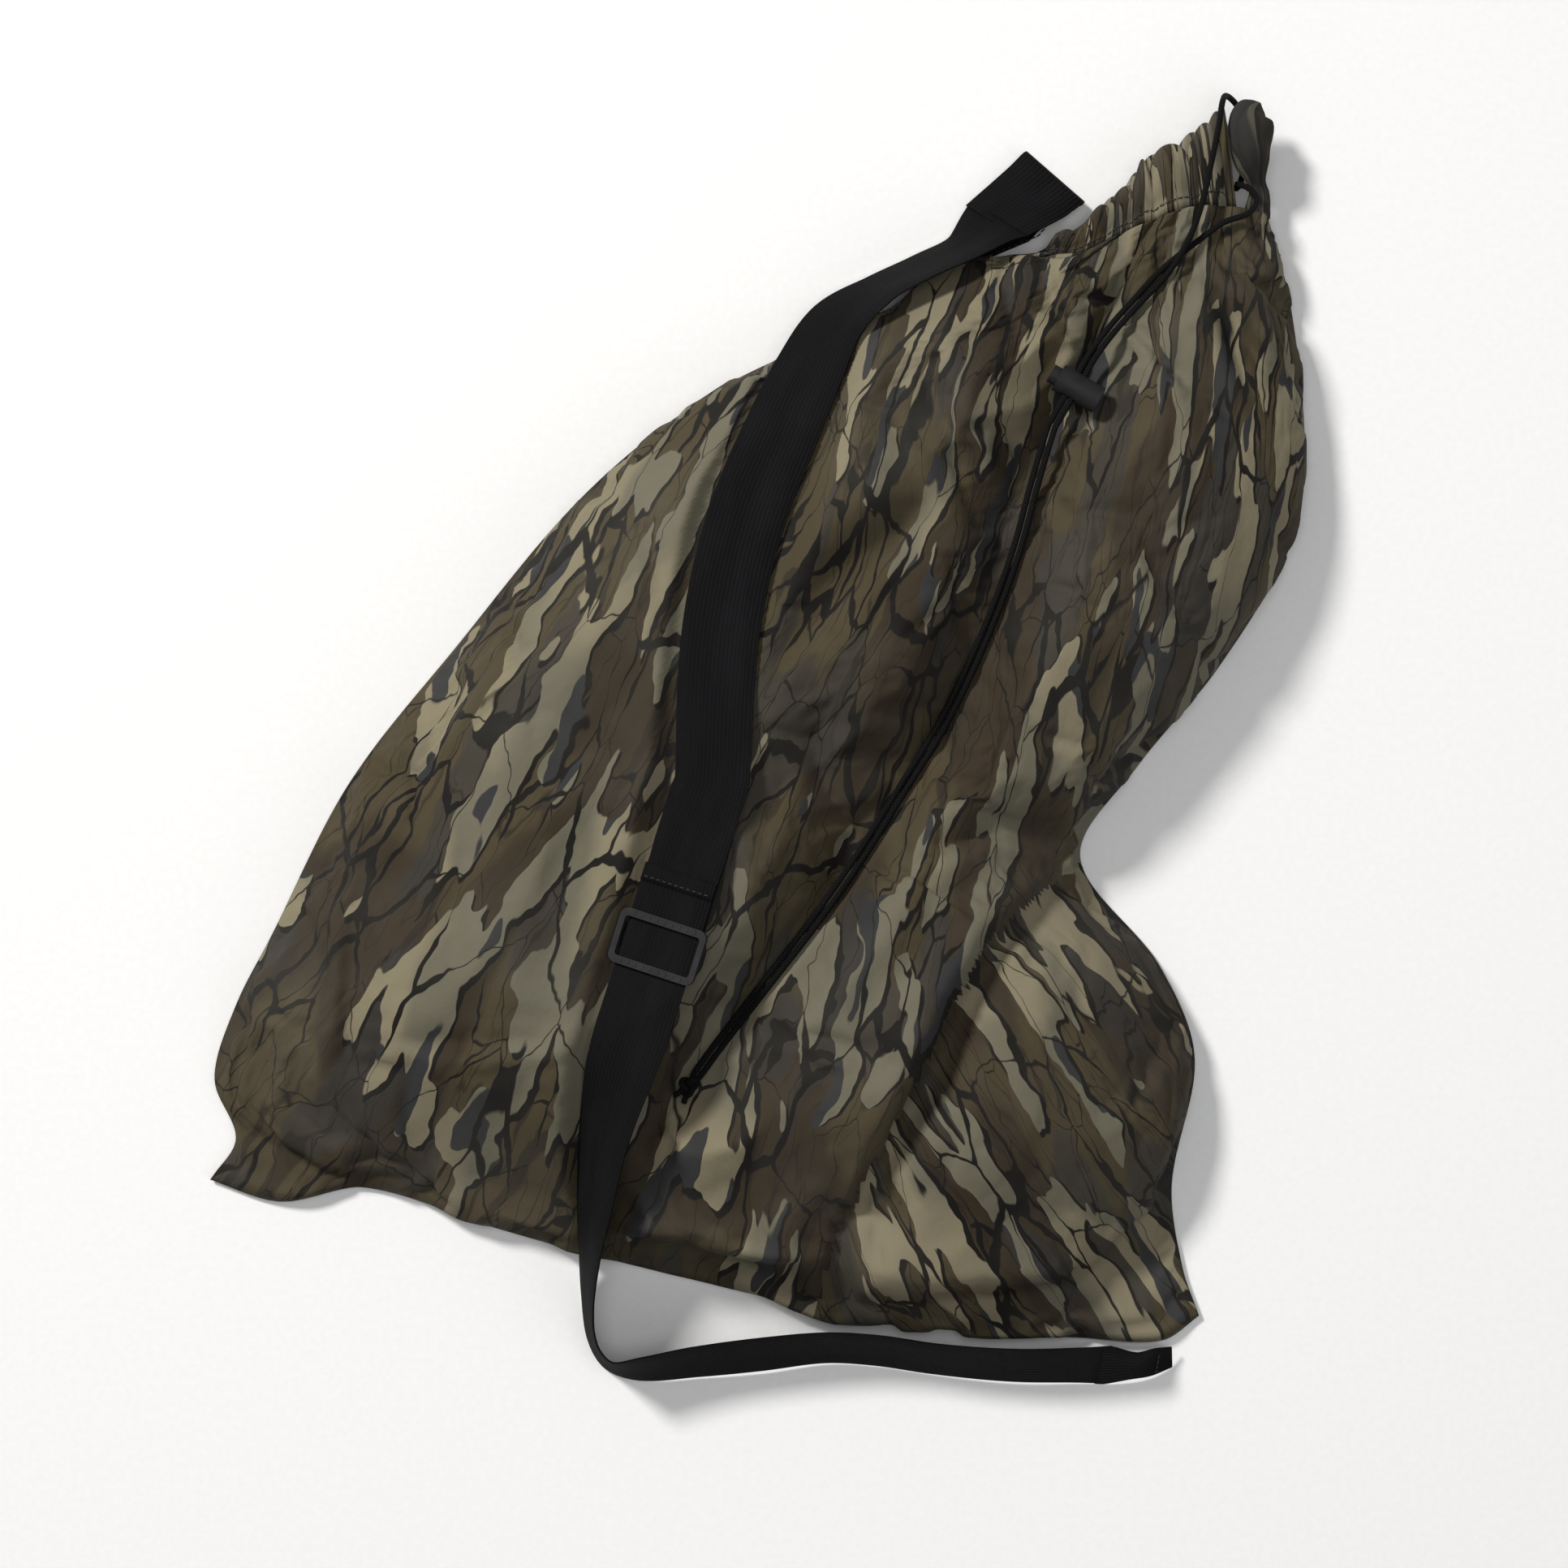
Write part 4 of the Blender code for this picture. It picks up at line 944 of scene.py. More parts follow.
def settle(mesh, held):
    """Lets slack cloth buckle under a little pressure; held is 1 where it is fixed."""
    scene = bpy.context.scene
    made = bpy.data.objects.new("settling", mesh)
    scene.collection.objects.link(made)
    group = made.vertex_groups.new(name="held")
    for level in range(1, 11):
        near = np.nonzero(np.round(held * 10).astype(int) == level)[0]
        group.add(near.tolist(), level / 10, "REPLACE")
    cloth = made.modifiers.new("cloth", "CLOTH")
    for key, value in SETTLE.items():
        setattr(cloth.settings, key, value)
    cloth.settings.effector_weights.gravity = 0.0
    cloth.collision_settings.use_collision = False
    for step in range(1, SETTLE_FRAMES + 1):
        scene.frame_set(step)
    graph = bpy.context.evaluated_depsgraph_get()
    result = made.evaluated_get(graph).to_mesh()
    moved = np.empty(len(mesh.vertices) * 3)
    result.vertices.foreach_get("co", moved)
    bpy.data.objects.remove(made)
    scene.frame_set(1)
    return moved.reshape(-1, 3)


def panel_plan(rows, columns, crowd):
    """Shares across and along a panel, their places in plan, and metres from its sewn rim."""
    a, b = np.meshgrid(even_shares(columns, crowd), np.linspace(0, 1.0, rows))
    rim = np.minimum(np.minimum(a, 1 - a) * BAG_WIDTH, b * BAG_LENGTH)
    return a, b, bag_point(a, b), rim


def finish_panel(mesh, node):
    made = link(node + "_fabric", mesh, CAMOUFLAGE)
    add_thickness(made, SHOWN_CLOTH)
    return finish_piece(made, "bag", "camo_fabric", node)


def settled_panel(rows, columns):
    """The front panel in plan and in space, wrinkled by a cloth simulation."""
    a, b, place, rim = panel_plan(rows, columns, 0.45)
    height = front_height(a, b, place)
    height = FLOOR_GAP + (height - FLOOR_GAP) * np.sqrt(np.clip(rim / 0.020, 0, 1))
    start = np.concatenate([place, height[..., None]], axis=-1)
    away, _ = beside(valley_line, place, 200)
    held = np.maximum(np.exp(-((away / 0.010) ** 2)), rim < 0.006)
    held = np.maximum(held, smooth_step(0.97, 1.0, b))
    mesh = grid_mesh("settling", start, start[..., :2])
    moved = settle(mesh, held.reshape(-1)).reshape(start.shape)
    shift = moved - start
    reach = np.linalg.norm(shift, axis=-1, keepdims=True)
    shift *= np.minimum(1.0, SETTLE_CAP / np.maximum(reach, 1e-9))
    return place, start + shift


def finer(places):
    """Twice the rows and columns, through the same points, on smooth lines."""
    for axis in (0, 1):
        line = np.moveaxis(places, axis, 0)
        before = np.concatenate([line[:1], line[:-2]])
        after = np.concatenate([line[2:], line[-1:]])
        middle = (9 * (line[:-1] + line[1:]) - before - after) / 16
        woven = np.empty((2 * len(line) - 1, *line.shape[1:]))
        woven[::2], woven[1::2] = line, middle
        places = np.moveaxis(woven, 0, axis)
    return places


def make_front_panel():
    place, places = (finer(found) for found in settled_panel(ALONG // 2, ACROSS // 2))
    places[..., 2] = np.maximum(lay_under(places), FLOOR_GAP)
    mesh = grid_mesh("front_panel_fabric", places, place)
    lay_cloth(mesh, place)
    return finish_panel(mesh, "front_panel")


def make_back_panel():
    _, _, place, rim = panel_plan(110, 90, 0.5)
    height = 0.0030 - 0.0022 * smooth_step(0.0, 0.020, rim)
    height += 0.0006 * (0.5 + 0.5 * field(place, (14, 10), 9.0)) * smooth_step(0.0, 0.04, rim)
    places = np.concatenate([place, height[..., None]], axis=-1)
    mesh = grid_mesh("back_panel_fabric", places, place)
    mesh.flip_normals()
    lay_cloth(mesh, place, BACK_CLOTH_SHIFT)
    return finish_panel(mesh, "back_panel")


front_panel = make_front_panel()
back_panel = make_back_panel()


# ---- The gathered mouth -------------------------------------------------------------------


def hem_places(middle, phase, turns, shares):
    """The gathered channel: from its stitching over the top edge and back, with puffs."""
    turn, a = np.meshgrid(turns, shares, indexing="ij")
    puff = hem_puffs(a + phase)
    size = 0.84 + 0.14 * np.sin(2 * math.pi * (2.7 * a + phase)) + 0.08 * np.sin(31.0 * a)
    angle = math.pi * turn
    reach = np.sin(angle) ** 0.8
    lean = 0.004 * np.sin(2 * math.pi * HEM_PUFFS * a) * reach
    line, edge = hem_stitch(a + lean), hem_top(a + lean)
    extent = 0.60 + 0.44 * puff * size
    plan = line + (edge - line) * (reach * extent)[..., None]
    pinch = 1.0 - 0.40 * np.exp(-(((reach - CHANNEL_REACH) / 0.12) ** 2)) * (1.2 - puff)
    rise = 0.26 + 0.66 * np.sin(2 * np.minimum(angle, math.pi - angle))
    half = hem_half(a) * rise * (0.55 + 0.62 * puff) * pinch
    height = middle(a) + half * np.tanh(6 * (0.5 - turn))
    height += 0.0009 * np.sin(70 * a + 6 * reach) * reach
    return np.concatenate([plan, height[..., None]], axis=-1), turn, a


def make_hem(name, middle, phase, node):
    turns = np.linspace(0.0, 1.0, 44)
    shares = np.linspace(HEM_START - 0.035, VENT + 0.012, 260)
    places, turn, a = hem_places(middle, phase, turns, shares)
    cloth = np.stack([a * 0.42 + phase + 7.0, 4.0 + turn * 0.085], axis=-1)
    made = link(name, grid_mesh(name, places, cloth), CAMOUFLAGE)
    add_thickness(made, SHOWN_CLOTH)
    return finish_piece(made, "bag", "camo_fabric", node)


def make_hem_stitching(name, middle, phase, turn, side, node):
    shares = np.linspace(HEM_START - 0.02, VENT, 220)
    places, _, _ = hem_places(middle, phase, np.array([turn]), shares)
    points = places[0] + np.array((0.0, 0.0, 0.0006 * side))
    made = stitch_row(name, points, (0.0, 0.0, side))
    return finish_piece(made, "bag", "thread", node)


# The vent flap from its top down to the panel's corner: middle in plan, height of the middle,
# half of the width, and half of the thickness
FLAP_ROWS = [
    (0.3262, 0.4172, 0.0325, 0.0005, 0.0004), (0.3240, 0.4150, 0.0325, 0.0065, 0.0026),
    (0.3210, 0.4110, 0.0328, 0.0118, 0.0062), (0.3196, 0.4040, 0.0330, 0.0138, 0.0098),
    (0.3196, 0.3950, 0.0330, 0.0142, 0.0114), (0.3200, 0.3860, 0.0328, 0.0136, 0.0108),
    (0.3212, 0.3780, 0.0315, 0.0108, 0.0082), (0.3232, 0.3710, 0.0285, 0.0070, 0.0048),
    (0.3250, 0.3655, 0.0240, 0.0052, 0.0030), (0.3265, 0.3595, 0.0205, 0.0066, 0.0032),
    (0.3262, 0.3520, 0.0180, 0.0080, 0.0040), (0.3252, 0.3440, 0.0150, 0.0080, 0.0034),
    (0.3248, 0.3415, 0.0145, 0.0004, 0.0004),
]  # fmt: skip


def make_vent_flap():
    """The smooth puffed end of the panel beyond the channel, cinched into a neck below."""
    v = np.linspace(0.0, 1.0, 90)
    rows = smooth_line(FLAP_ROWS)(v)
    u = np.linspace(0, 2 * math.pi, 65)[:-1]
    angle, share = np.meshgrid(u, v)
    neck = np.exp(-(((share - 0.62) / 0.16) ** 2))
    puff = np.exp(-(((share - 0.30) / 0.22) ** 2))
    pleats = 0.16 * neck * np.sin(7 * angle + 3 * share)
    pleats += 0.05 * puff * np.sin(3 * angle + 9 * share)
    crease = -0.20 * np.exp(-(((angle - 1.9 - 1.4 * share) / 0.14) ** 2)) * puff
    grow = 1.0 + pleats + crease
    lump = 1.0 + 0.10 * np.sin(2 * angle + 11 * share) * puff
    run = np.gradient(rows[:, :2], axis=0)
    run /= np.linalg.norm(run, axis=1, keepdims=True)
    across = np.stack([-run[:, 1], run[:, 0]], axis=1)
    side = np.cos(angle) * rows[:, 3:4] * grow * lump
    plan = rows[:, None, :2] + across[:, None, :] * side[..., None]
    height = rows[:, 2:3] + np.sin(angle) * rows[:, 4:5] * grow
    rings = np.concatenate([plan, height[..., None]], axis=-1)
    turn, down = np.meshgrid(np.linspace(0, 1, len(u) + 1), v)
    # The flap keeps to a small, nearly plain stretch of the print and takes the darkened copy of
    # the camouflage: painted shade.
    cloth = np.stack([11.30 + 0.022 * np.abs(turn - 0.5), 6.12 + 0.030 * down], axis=-1)
    mesh = section_mesh("vent_flap_puff", rings, cloth)
    made = add_piece("vent_flap_puff", mesh, SHADED_FLAP_CLOTH, "bag", "camo_fabric", "vent_flap")


front_hem = make_hem("mouth_hem_front_fabric", front_middle, 0.0, "mouth_hem_front")
back_hem = make_hem("mouth_hem_back_fabric", back_middle, 0.043, "mouth_hem_back")
make_hem_stitching("hem_stitches_front", front_middle, 0.0, 0.035, 1, "front_hem_stitching")
make_hem_stitching("hem_stitches_back", back_middle, 0.043, 0.965, -1, "back_hem_stitching")
make_vent_flap()

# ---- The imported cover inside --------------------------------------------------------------


COVER_CLEARANCE = 0.008  # between the folded cover and the front panel
COVER_LAYERS = 9
COVER_LEVELS = 46  # rings up its side
COVER_FLOOR = 0.0030


def lowest_above(tree, x, y):
    """Height just under the front panel round a place in plan."""
    heights = []
    for angle in range(0, 360, 60):
        aside = COVER_CLEARANCE * np.array((math.cos(angle), math.sin(angle)))
        hit = tree.ray_cast((x + aside[0], y + aside[1], 0.3), (0.0, 0.0, -1.0))[0]
        heights.append(hit.z if hit else 0.0)
    return min(heights) - COVER_CLEARANCE


def make_cover():
    """The folded blind: a stack of folded layers inside the two panels."""
    angle = np.linspace(0, 2 * math.pi, 6001)
    ring = np.stack([np.cos(angle), np.sin(angle)])
    ring = np.sign(ring) * np.abs(ring) ** 0.30  # a square with rounded corners
    run = np.concatenate([[0.0], np.cumsum(np.linalg.norm(np.diff(ring), axis=0))])
    even = np.linspace(0, run[-1], 121)[:-1]
    ring_x, ring_y = np.interp(even, run, ring[0]), np.interp(even, run, ring[1])
    shares = [0.0, *np.linspace(0.06, 0.96, 16)]
    tree = BVHTree.FromPolygons(
        [vertex.co for vertex in front_panel.data.vertices],
        [face.vertices for face in front_panel.data.polygons],
    )
    steps = [(reach, 0.0) for reach in shares]
    steps += [(1.0, level) for level in np.linspace(0.0, 1.0, COVER_LEVELS)]
    steps += [(reach, 1.0) for reach in shares[::-1]]
    rings = []
    for reach, level in steps:
        fold = abs(math.sin(math.pi * COVER_LAYERS * level)) ** 0.5
        spread = reach * (0.955 + 0.045 * fold) if reach == 1.0 else reach
        a = 0.5 + 0.345 * spread * ring_x
        b = 0.50 + 0.315 * spread * ring_y
        place = bag_point(a, b)
        roof = [lowest_above(tree, x, y) for x, y in place]
        top = np.maximum(roof, COVER_FLOOR + 0.004)
        height = COVER_FLOOR + (top - COVER_FLOOR) * level
        rings.append(np.concatenate([place, height[:, None]], axis=-1))
    rings = np.array(rings)
    closed_rings = np.concatenate([rings, rings[:, :1]], axis=1)
    cloth = closed_rings[..., :2] + np.array((3.0, 3.0)) + closed_rings[..., 2:3] * 0.7
    mesh = section_mesh("folded_cover_layers", rings, cloth)
    made = add_piece(
        "folded_cover_layers", mesh, COVER_CLOTH, "bag", "blind_cloth", "folded_blind_cover"
    )


make_cover()

# ---- Shoulder strap -----------------------------------------------------------------------

LOWER_LAYER = WEBBING / 2
UPPER_LAYER = -GAP - WEBBING / 2
TAIL_ABOVE = 0.049
LOOP_BACK_END = 0.080
OUTER_BAR_LOW = WEBBING + GAP
CENTRE_BAR_TOP = -2 * GAP - WEBBING
ROW = 0.004  # steps along the webbing
RIBS = 9  # across each outer bar of the slider
RIB_SPACING = 0.0052


def slider_matrix():
    """The slider's own frame: X across the strap, Y towards the mouth, Z outward."""
    middle, across, outward = strap_frames(np.array([SLIDER_STATION]))
    across, outward = Vector(across[0]), Vector(outward[0])
    turn = Matrix((across, outward.cross(across), outward)).transposed().to_4x4()
    return Matrix.Translation(Vector(middle[0])) @ turn


SLIDER_FRAME = slider_matrix()


def strap_edges(start, end, layer):
    """Left and right edges of webbing on one layer of the strap, from station to station."""
    stations = np.linspace(start, end, int((end - start) / ROW) + 2)
    middle, across, outward = strap_frames(stations)
    flutter = 0.0004 * np.sin(stations * 41.0)[:, None] * outward
    middle = middle + outward * layer + flutter * (1 if layer > 0 else 0.4)
    return middle - across * WEBBING_WIDTH / 2, middle + across * WEBBING_WIDTH / 2


def in_slider(points, width):
    """Left and right edges in the slider's frame of a profile of (y, z) points."""
    edges = []
    for side in (-0.5, 0.5):
        edges.append(np.array([SLIDER_FRAME @ Vector((side * width, y, z)) for y, z in points]))
    return edges


def make_upper_webbing():
    """One length of webbing from the mouth to the slider, round its centre bar and back."""
    left, right = strap_edges(0.0, SLIDER_STATION - 0.062, UPPER_LAYER)
    behind = CENTRE_BAR_TOP - BAR_THICKNESS - GAP - WEBBING / 2
    settled = UPPER_LAYER - WEBBING - GAP
    turn = CENTRE_BAR / 2 + GAP + WEBBING / 2
    centre = (UPPER_LAYER + behind) / 2
    reach = (UPPER_LAYER - behind) / 2
    profile = [(y, UPPER_LAYER) for y in np.arange(0.056, -0.001, -0.004)]
    for angle in np.linspace(0.5 * math.pi, 1.5 * math.pi, 13):
        y = math.cos(angle) * (turn - 0.0006) - 0.0006
        profile.append((y, centre + math.sin(angle) * reach))
    profile += [(0.004, behind), (0.010, behind)]
    for y in np.arange(0.014, LOOP_BACK_END + 0.001, 0.004):
        profile.append((y, behind + (settled - behind) * float(smooth_step(0.010, 0.030, y))))
    loop_left, loop_right = in_slider(profile, WEBBING_WIDTH - 0.0006)
    left = np.concatenate([left, loop_left])
    right = np.concatenate([right, loop_right])
    mesh = ribbon_mesh("strap_upper_run", left, right, WEBBING * 0.94)
    made = link("strap_upper_run", mesh, WEBBING_FINISH)
    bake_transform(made)  # fmt: skip
    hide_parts("strap_upper_webbing", "strap_slider_loop")
    level = settled - WEBBING / 2 - 0.0002
    corners = [(-0.020, 0.046), (0.020, 0.046), (0.020, 0.056), (-0.020, 0.056), (-0.020, 0.046)]
    points = [SLIDER_FRAME @ Vector((x, y, level)) for x, y in corners]
    down = -(SLIDER_FRAME.to_3x3() @ Vector((0, 0, 1)))
    finish_piece(stitch_row("loop_stitches", points, down), "slider", "thread", "loop_stitching")


def make_lower_webbing():
    """From its folded tail above the slider, off the bag and along to the corner."""
    tail = SLIDER_STATION - TAIL_ABOVE
    left, right = strap_edges(tail, strap_line.length, LOWER_LAYER)
    mesh = ribbon_mesh("strap_lower_run", left, right, WEBBING * 0.94)
    add_piece("strap_lower_run", mesh, WEBBING_FINISH, "strap", "webbing", "strap_lower_webbing")
    hem_left, hem_right = strap_edges(tail + 0.0006, tail + 0.012, LOWER_LAYER + 0.0011)
    mesh = ribbon_mesh("strap_tail_hem", hem_left, hem_right, 0.0009)
    add_piece("strap_tail_hem", mesh, WEBBING_FINISH, "strap", "webbing")
    top = WEBBING + 0.0011
    points = [SLIDER_FRAME @ Vector((x, TAIL_ABOVE - 0.009, top)) for x in (-0.023, 0.023)]
    up = SLIDER_FRAME.to_3x3() @ Vector((0, 0, 1))
    finish_piece(stitch_row("tail_stitches", points, up), "strap", "thread", "tail_stitching")


def make_top_tab():
    """The sewn end at the mouth, folded back on itself and met by the strap."""
    low, high = 0.0045, 0.0095
    start, across, outward = strap_frames(np.array([0.0]))
    start = Vector(start[0] + outward[0] * UPPER_LAYER)
    across = Vector(across[0]) * WEBBING_WIDTH / 2
    later, _, later_out = strap_frames(np.array([0.006]))
    overlap = Vector(later[0] + later_out[0] * UPPER_LAYER) - start
    rows = [
        ((0.1300, 0.3110, low), (0.1780, 0.3310, low)),
        ((0.1500, 0.3440, low), (0.1870, 0.3400, low)),
        ((0.1680, 0.3820, low), (0.2060, 0.3530, low)),
        ((0.1740, 0.3880, low + 0.0008), (0.2125, 0.3545, low + 0.0008)),
        ((0.1755, 0.3895, (low + high) / 2), (0.2140, 0.3560, (low + high) / 2)),
        ((0.1735, 0.3880, high - 0.0004), (0.2120, 0.3545, high + 0.0004)),
        ((0.1650, 0.3795, high - 0.0010), (0.2000, 0.3450, high + 0.0080)),
        (tuple(start - across), tuple(start + across)),
        (tuple(start - across + overlap), tuple(start + across + overlap)),
    ]
    shares = np.linspace(0, 1, 60)
    both = smooth_line([left + right for left, right in rows])(shares)
    mesh = ribbon_mesh("top_tab_webbing", both[:, :3], both[:, 3:], WEBBING)
    made = link("top_tab_webbing", mesh, WEBBING_FINISH)
    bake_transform(made)
    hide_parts("strap_top_tab")
    level = low + WEBBING / 2 + 0.0004
    points = [(0.1440, 0.3185, level), (0.1840, 0.3345, level), (0.1930, 0.3450, level)]
    stitches = stitch_row("top_tab_stitches", points, (0, 0, 1))
    finish_piece(stitches, "bag", "thread", "top_tab_stitching")


def make_bottom_tab():
    """The sewn end in the bottom right corner."""
    end, across, outward = strap_frames(np.array([strap_line.length, strap_line.length - 0.006]))
    ends = end + outward * LOWER_LAYER
    reach = across * WEBBING_WIDTH / 2
    rows = [
        tuple(ends[1] - reach[1]) + tuple(ends[1] + reach[1]),
        tuple(ends[0] - reach[0]) + tuple(ends[0] + reach[0]),
        (0.2440, -0.4135, 0.0040, 0.2460, -0.3925, 0.0330),
        (0.2575, -0.4115, 0.0030, 0.2585, -0.3915, 0.0200),
        (0.2715, -0.4060, 0.0020, 0.2705, -0.3915, 0.0100),
    ]
    both = smooth_line(rows)(np.linspace(0, 1, 24))
    mesh = ribbon_mesh("bottom_tab_webbing", both[:, :3], both[:, 3:], WEBBING)
    made = link("bottom_tab_webbing", mesh, WEBBING_FINISH)
    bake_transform(made)
    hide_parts("strap_bottom_tab")
    points = [(0.2606, -0.4094, 0.0068), (0.2614, -0.4010, 0.0122), (0.2622, -0.3935, 0.0168)]
    stitches = stitch_row("bottom_tab_stitches", points, (-0.1, -0.5, 0.9))
    finish_piece(stitches, "bag", "thread", "bottom_tab_stitching")


def rounded_outline(half_x, half_y, radius, steps=6):
    points = []
    corners = ((1, 1, 0.0), (-1, 1, 0.5), (-1, -1, 1.0), (1, -1, 1.5))
    for sx, sy, start in corners:
        for k in range(steps + 1):
            angle = math.pi * (start + 0.5 * k / steps)
            x = sx * (half_x - radius) + radius * math.cos(angle)
            y = sy * (half_y - radius) + radius * math.sin(angle)
            points.append((x, y))
    return points


def rectangle(x, y, half_x, half_y):
    return [(x + sx * half_x, y + sy * half_y) for sx, sy in ((-1, -1), (1, -1), (1, 1), (-1, 1))]


def prism(name, outline, low, high):
    """A closed prism with the outline in X and Y, from low to high."""
    solid = bmesh.new()
    face = solid.faces.new([solid.verts.new((x, y, low)) for x, y in outline])
    grown = bmesh.ops.extrude_face_region(solid, geom=[face])
    moved = [item for item in grown["geom"] if isinstance(item, bmesh.types.BMVert)]
    bmesh.ops.translate(solid, vec=(0, 0, high - low), verts=moved)
    bmesh.ops.recalc_face_normals(solid, faces=solid.faces)
    mesh = bpy.data.meshes.new(name)
    solid.to_mesh(mesh)
    solid.free()
    return bpy.data.objects.new(name, mesh)


def combine(base, other, operation):
    """Applies one exact Boolean to base and removes the other object."""
    bpy.context.scene.collection.objects.link(other)
    step = base.modifiers.new("combine", "BOOLEAN")
    step.operation = operation
    step.solver = "EXACT"
    step.object = other
    graph = bpy.context.evaluated_depsgraph_get()
    result = bpy.data.meshes.new_from_object(base.evaluated_get(graph))
    base.modifiers.clear()
    base.data = result
    bpy.data.objects.remove(other)


def make_slider():
    """A moulded three-bar slider: a rounded frame with ribbed outer bars, two cheeks and a lower
    centre bar.
    """
    top = OUTER_BAR_LOW + BAR_THICKNESS
    half_x, half_y = SLIDER_WIDTH / 2, SLIDER_LENGTH / 2
    mesh = prism("slider_plate", rounded_outline(half_x, half_y, 0.0055), OUTER_BAR_LOW, top).data
    slider = link("slider_moulding", mesh)
    window = rounded_outline(half_x - RAIL, half_y - SLIDER_BAR, 0.0022)
    combine(slider, prism("window", window, OUTER_BAR_LOW - 0.01, top + 0.01), "DIFFERENCE")
    low = CENTRE_BAR_TOP - BAR_THICKNESS
    for side in (-1, 1):
        near, far = side * (half_x - RAIL + 0.0002), side * (half_x - 0.0002)
        outline = [
            (-half_y + 0.006, top - 0.0004), (-half_y + 0.006, OUTER_BAR_LOW + 0.0008),
            (-CENTRE_BAR, low + 0.0006), (-CENTRE_BAR * 0.7, low), (CENTRE_BAR * 0.7, low),
            (CENTRE_BAR, low + 0.0006), (half_y - 0.006, OUTER_BAR_LOW + 0.0008),
            (half_y - 0.006, top - 0.0004),
        ]  # fmt: skip
        cheek = prism("cheek", outline, min(near, far), max(near, far))
        for vertex in cheek.data.vertices:
            y, z, x = vertex.co
            vertex.co = (x, y, z)
        combine(slider, cheek, "UNION")
    bar = rectangle(0.0, 0.0, half_x - 0.002, CENTRE_BAR / 2)
    combine(slider, prism("bar", bar, low + 0.0001, CENTRE_BAR_TOP), "UNION")
    for k in range(RIBS):
        x = (k - RIBS // 2) * RIB_SPACING
        for sign in (-1, 1):
            rib = rectangle(x, sign * (half_y - SLIDER_BAR / 2), 0.0011, 0.0014)
            combine(slider, prism("rib", rib, top - 0.0006, top + 0.00035), "UNION")
    slider.data.transform(SLIDER_FRAME)
    slider.data.materials.clear()
    slider.data.materials.append(SLIDER_FINISH)
    add_bevel(slider, 0.0005, 3)
    slider.data.shade_smooth()
    slider.data.set_sharp_from_angle(angle=math.radians(55))
    finish_piece(slider, "slider", "black_plastic", "slider_frame")


make_upper_webbing()
make_lower_webbing()
make_top_tab()
make_bottom_tab()
make_slider()

# ---- Drawcord, its knot and its lock ------------------------------------------------------

CORD_STEP = 0.0022


def make_hem_cord():
    """The stretch of drawcord that both hems hold, round the left end of the mouth."""
    inner = HEM_START - 0.01
    run = CORD_EXIT - inner
    front = [channel_point(CORD_EXIT - run * i / 24, front_middle) for i in range(25)]
    back = [channel_point(inner + run * i / 24, back_middle) for i in range(25)]
    start, end = front[-1], back[0]
    bend = [
        start + Vector((-0.0062, -0.0030, -0.0012)),
        (start + end) / 2 + Vector((-0.0100, -0.0045, 0.0)),
        end + Vector((-0.0070, -0.0034, 0.0012)),
    ]
    line = smooth_line(front + bend + back)
    points = line(np.linspace(0, 1, int(line.length / CORD_STEP)))
    mesh = tube_mesh("drawcord_held", points, CORD / 2 * 0.97)
    add_piece("drawcord_held", mesh, CORD_FINISH, "bag", "cord", "drawcord_in_hem")


def make_knot():
    """An overhand knot that ties the two strands, with their two cut ends."""
    last, before = Vector(STRANDS_BELOW_LOCK[-1]), Vector(STRANDS_BELOW_LOCK[-2])
    heading = (last - before).normalized()
    middle = last + heading * 0.0092 + Vector((0, 0, 0.0015))
    turn = Matrix.Translation(middle) @ heading.to_track_quat("X", "Z").to_matrix().to_4x4()
    angles = np.linspace(0, 2 * math.pi, 73)[:-1]
    points = []
    for t in angles:
        x = math.sin(t) + 2 * math.sin(2 * t)
        y = math.cos(t) - 2 * math.cos(2 * t)
        z = -math.sin(3 * t)
        points.append(tuple(turn @ Vector((x * 0.0021, y * 0.0018, z * 0.0019))))
    mesh = tube_mesh("cord_knot_wraps", points, CORD / 2 * 0.9, closed=True)
    knot = add_piece("cord_knot_wraps", mesh, CORD_FINISH, "bag", "cord", "cord_end_knot")
    tails = []
    for side in (-1, 1):
        tail = [(0.003, 0.0018, 0.0), (0.007, 0.0026, -0.0006), (0.0105, 0.0040, -0.0016)]
        line = smooth_line([tuple(turn @ Vector((x, y * side, z))) for x, y, z in tail])
        mesh = tube_mesh(f"cord_end_{side + 1}", line(np.linspace(0, 1, 8)), CORD / 2 * 0.92)
        tails.append(add_piece(f"cord_end_{side + 1}", mesh, CORD_FINISH, "bag", "cord"))
    for number, route in enumerate((front_route, back_route)):
        end, before = route(1.0), route(1.0 - 0.004 / route.length)
        centre = np.array(middle)
        entry = smooth_line([tuple(before), tuple(end), tuple((end + centre) / 2), tuple(centre)])
        mesh = tube_mesh(f"cord_entry_{number}", entry(np.linspace(0, 1, 10)), CORD / 2 * 0.96)
        tails.append(add_piece(f"cord_entry_{number}", mesh, CORD_FINISH, "bag", "cord"))
    return [knot, *tails]


def make_strand(name, route, node):
    points = route(np.linspace(0, 1, int(route.length / CORD_STEP)))
    mesh = tube_mesh(name, points, CORD / 2)
    return add_piece(name, mesh, CORD_FINISH, "bag", "cord", node), points


def make_lock_spring():
    """The lock's spring: the CAD's coil, copied as it is, in spring steel. In the real lock it
    shortens towards the end of its bore as the plunger goes in.
    """
    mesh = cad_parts["cord_lock_spring"].data.copy()
    mesh.materials.clear()
    made = add_piece(
        "lock_spring_coil", mesh, STEEL_FINISH, "cord_lock", "spring_steel", "cord_lock_spring"
    )
    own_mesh(made)
    return made


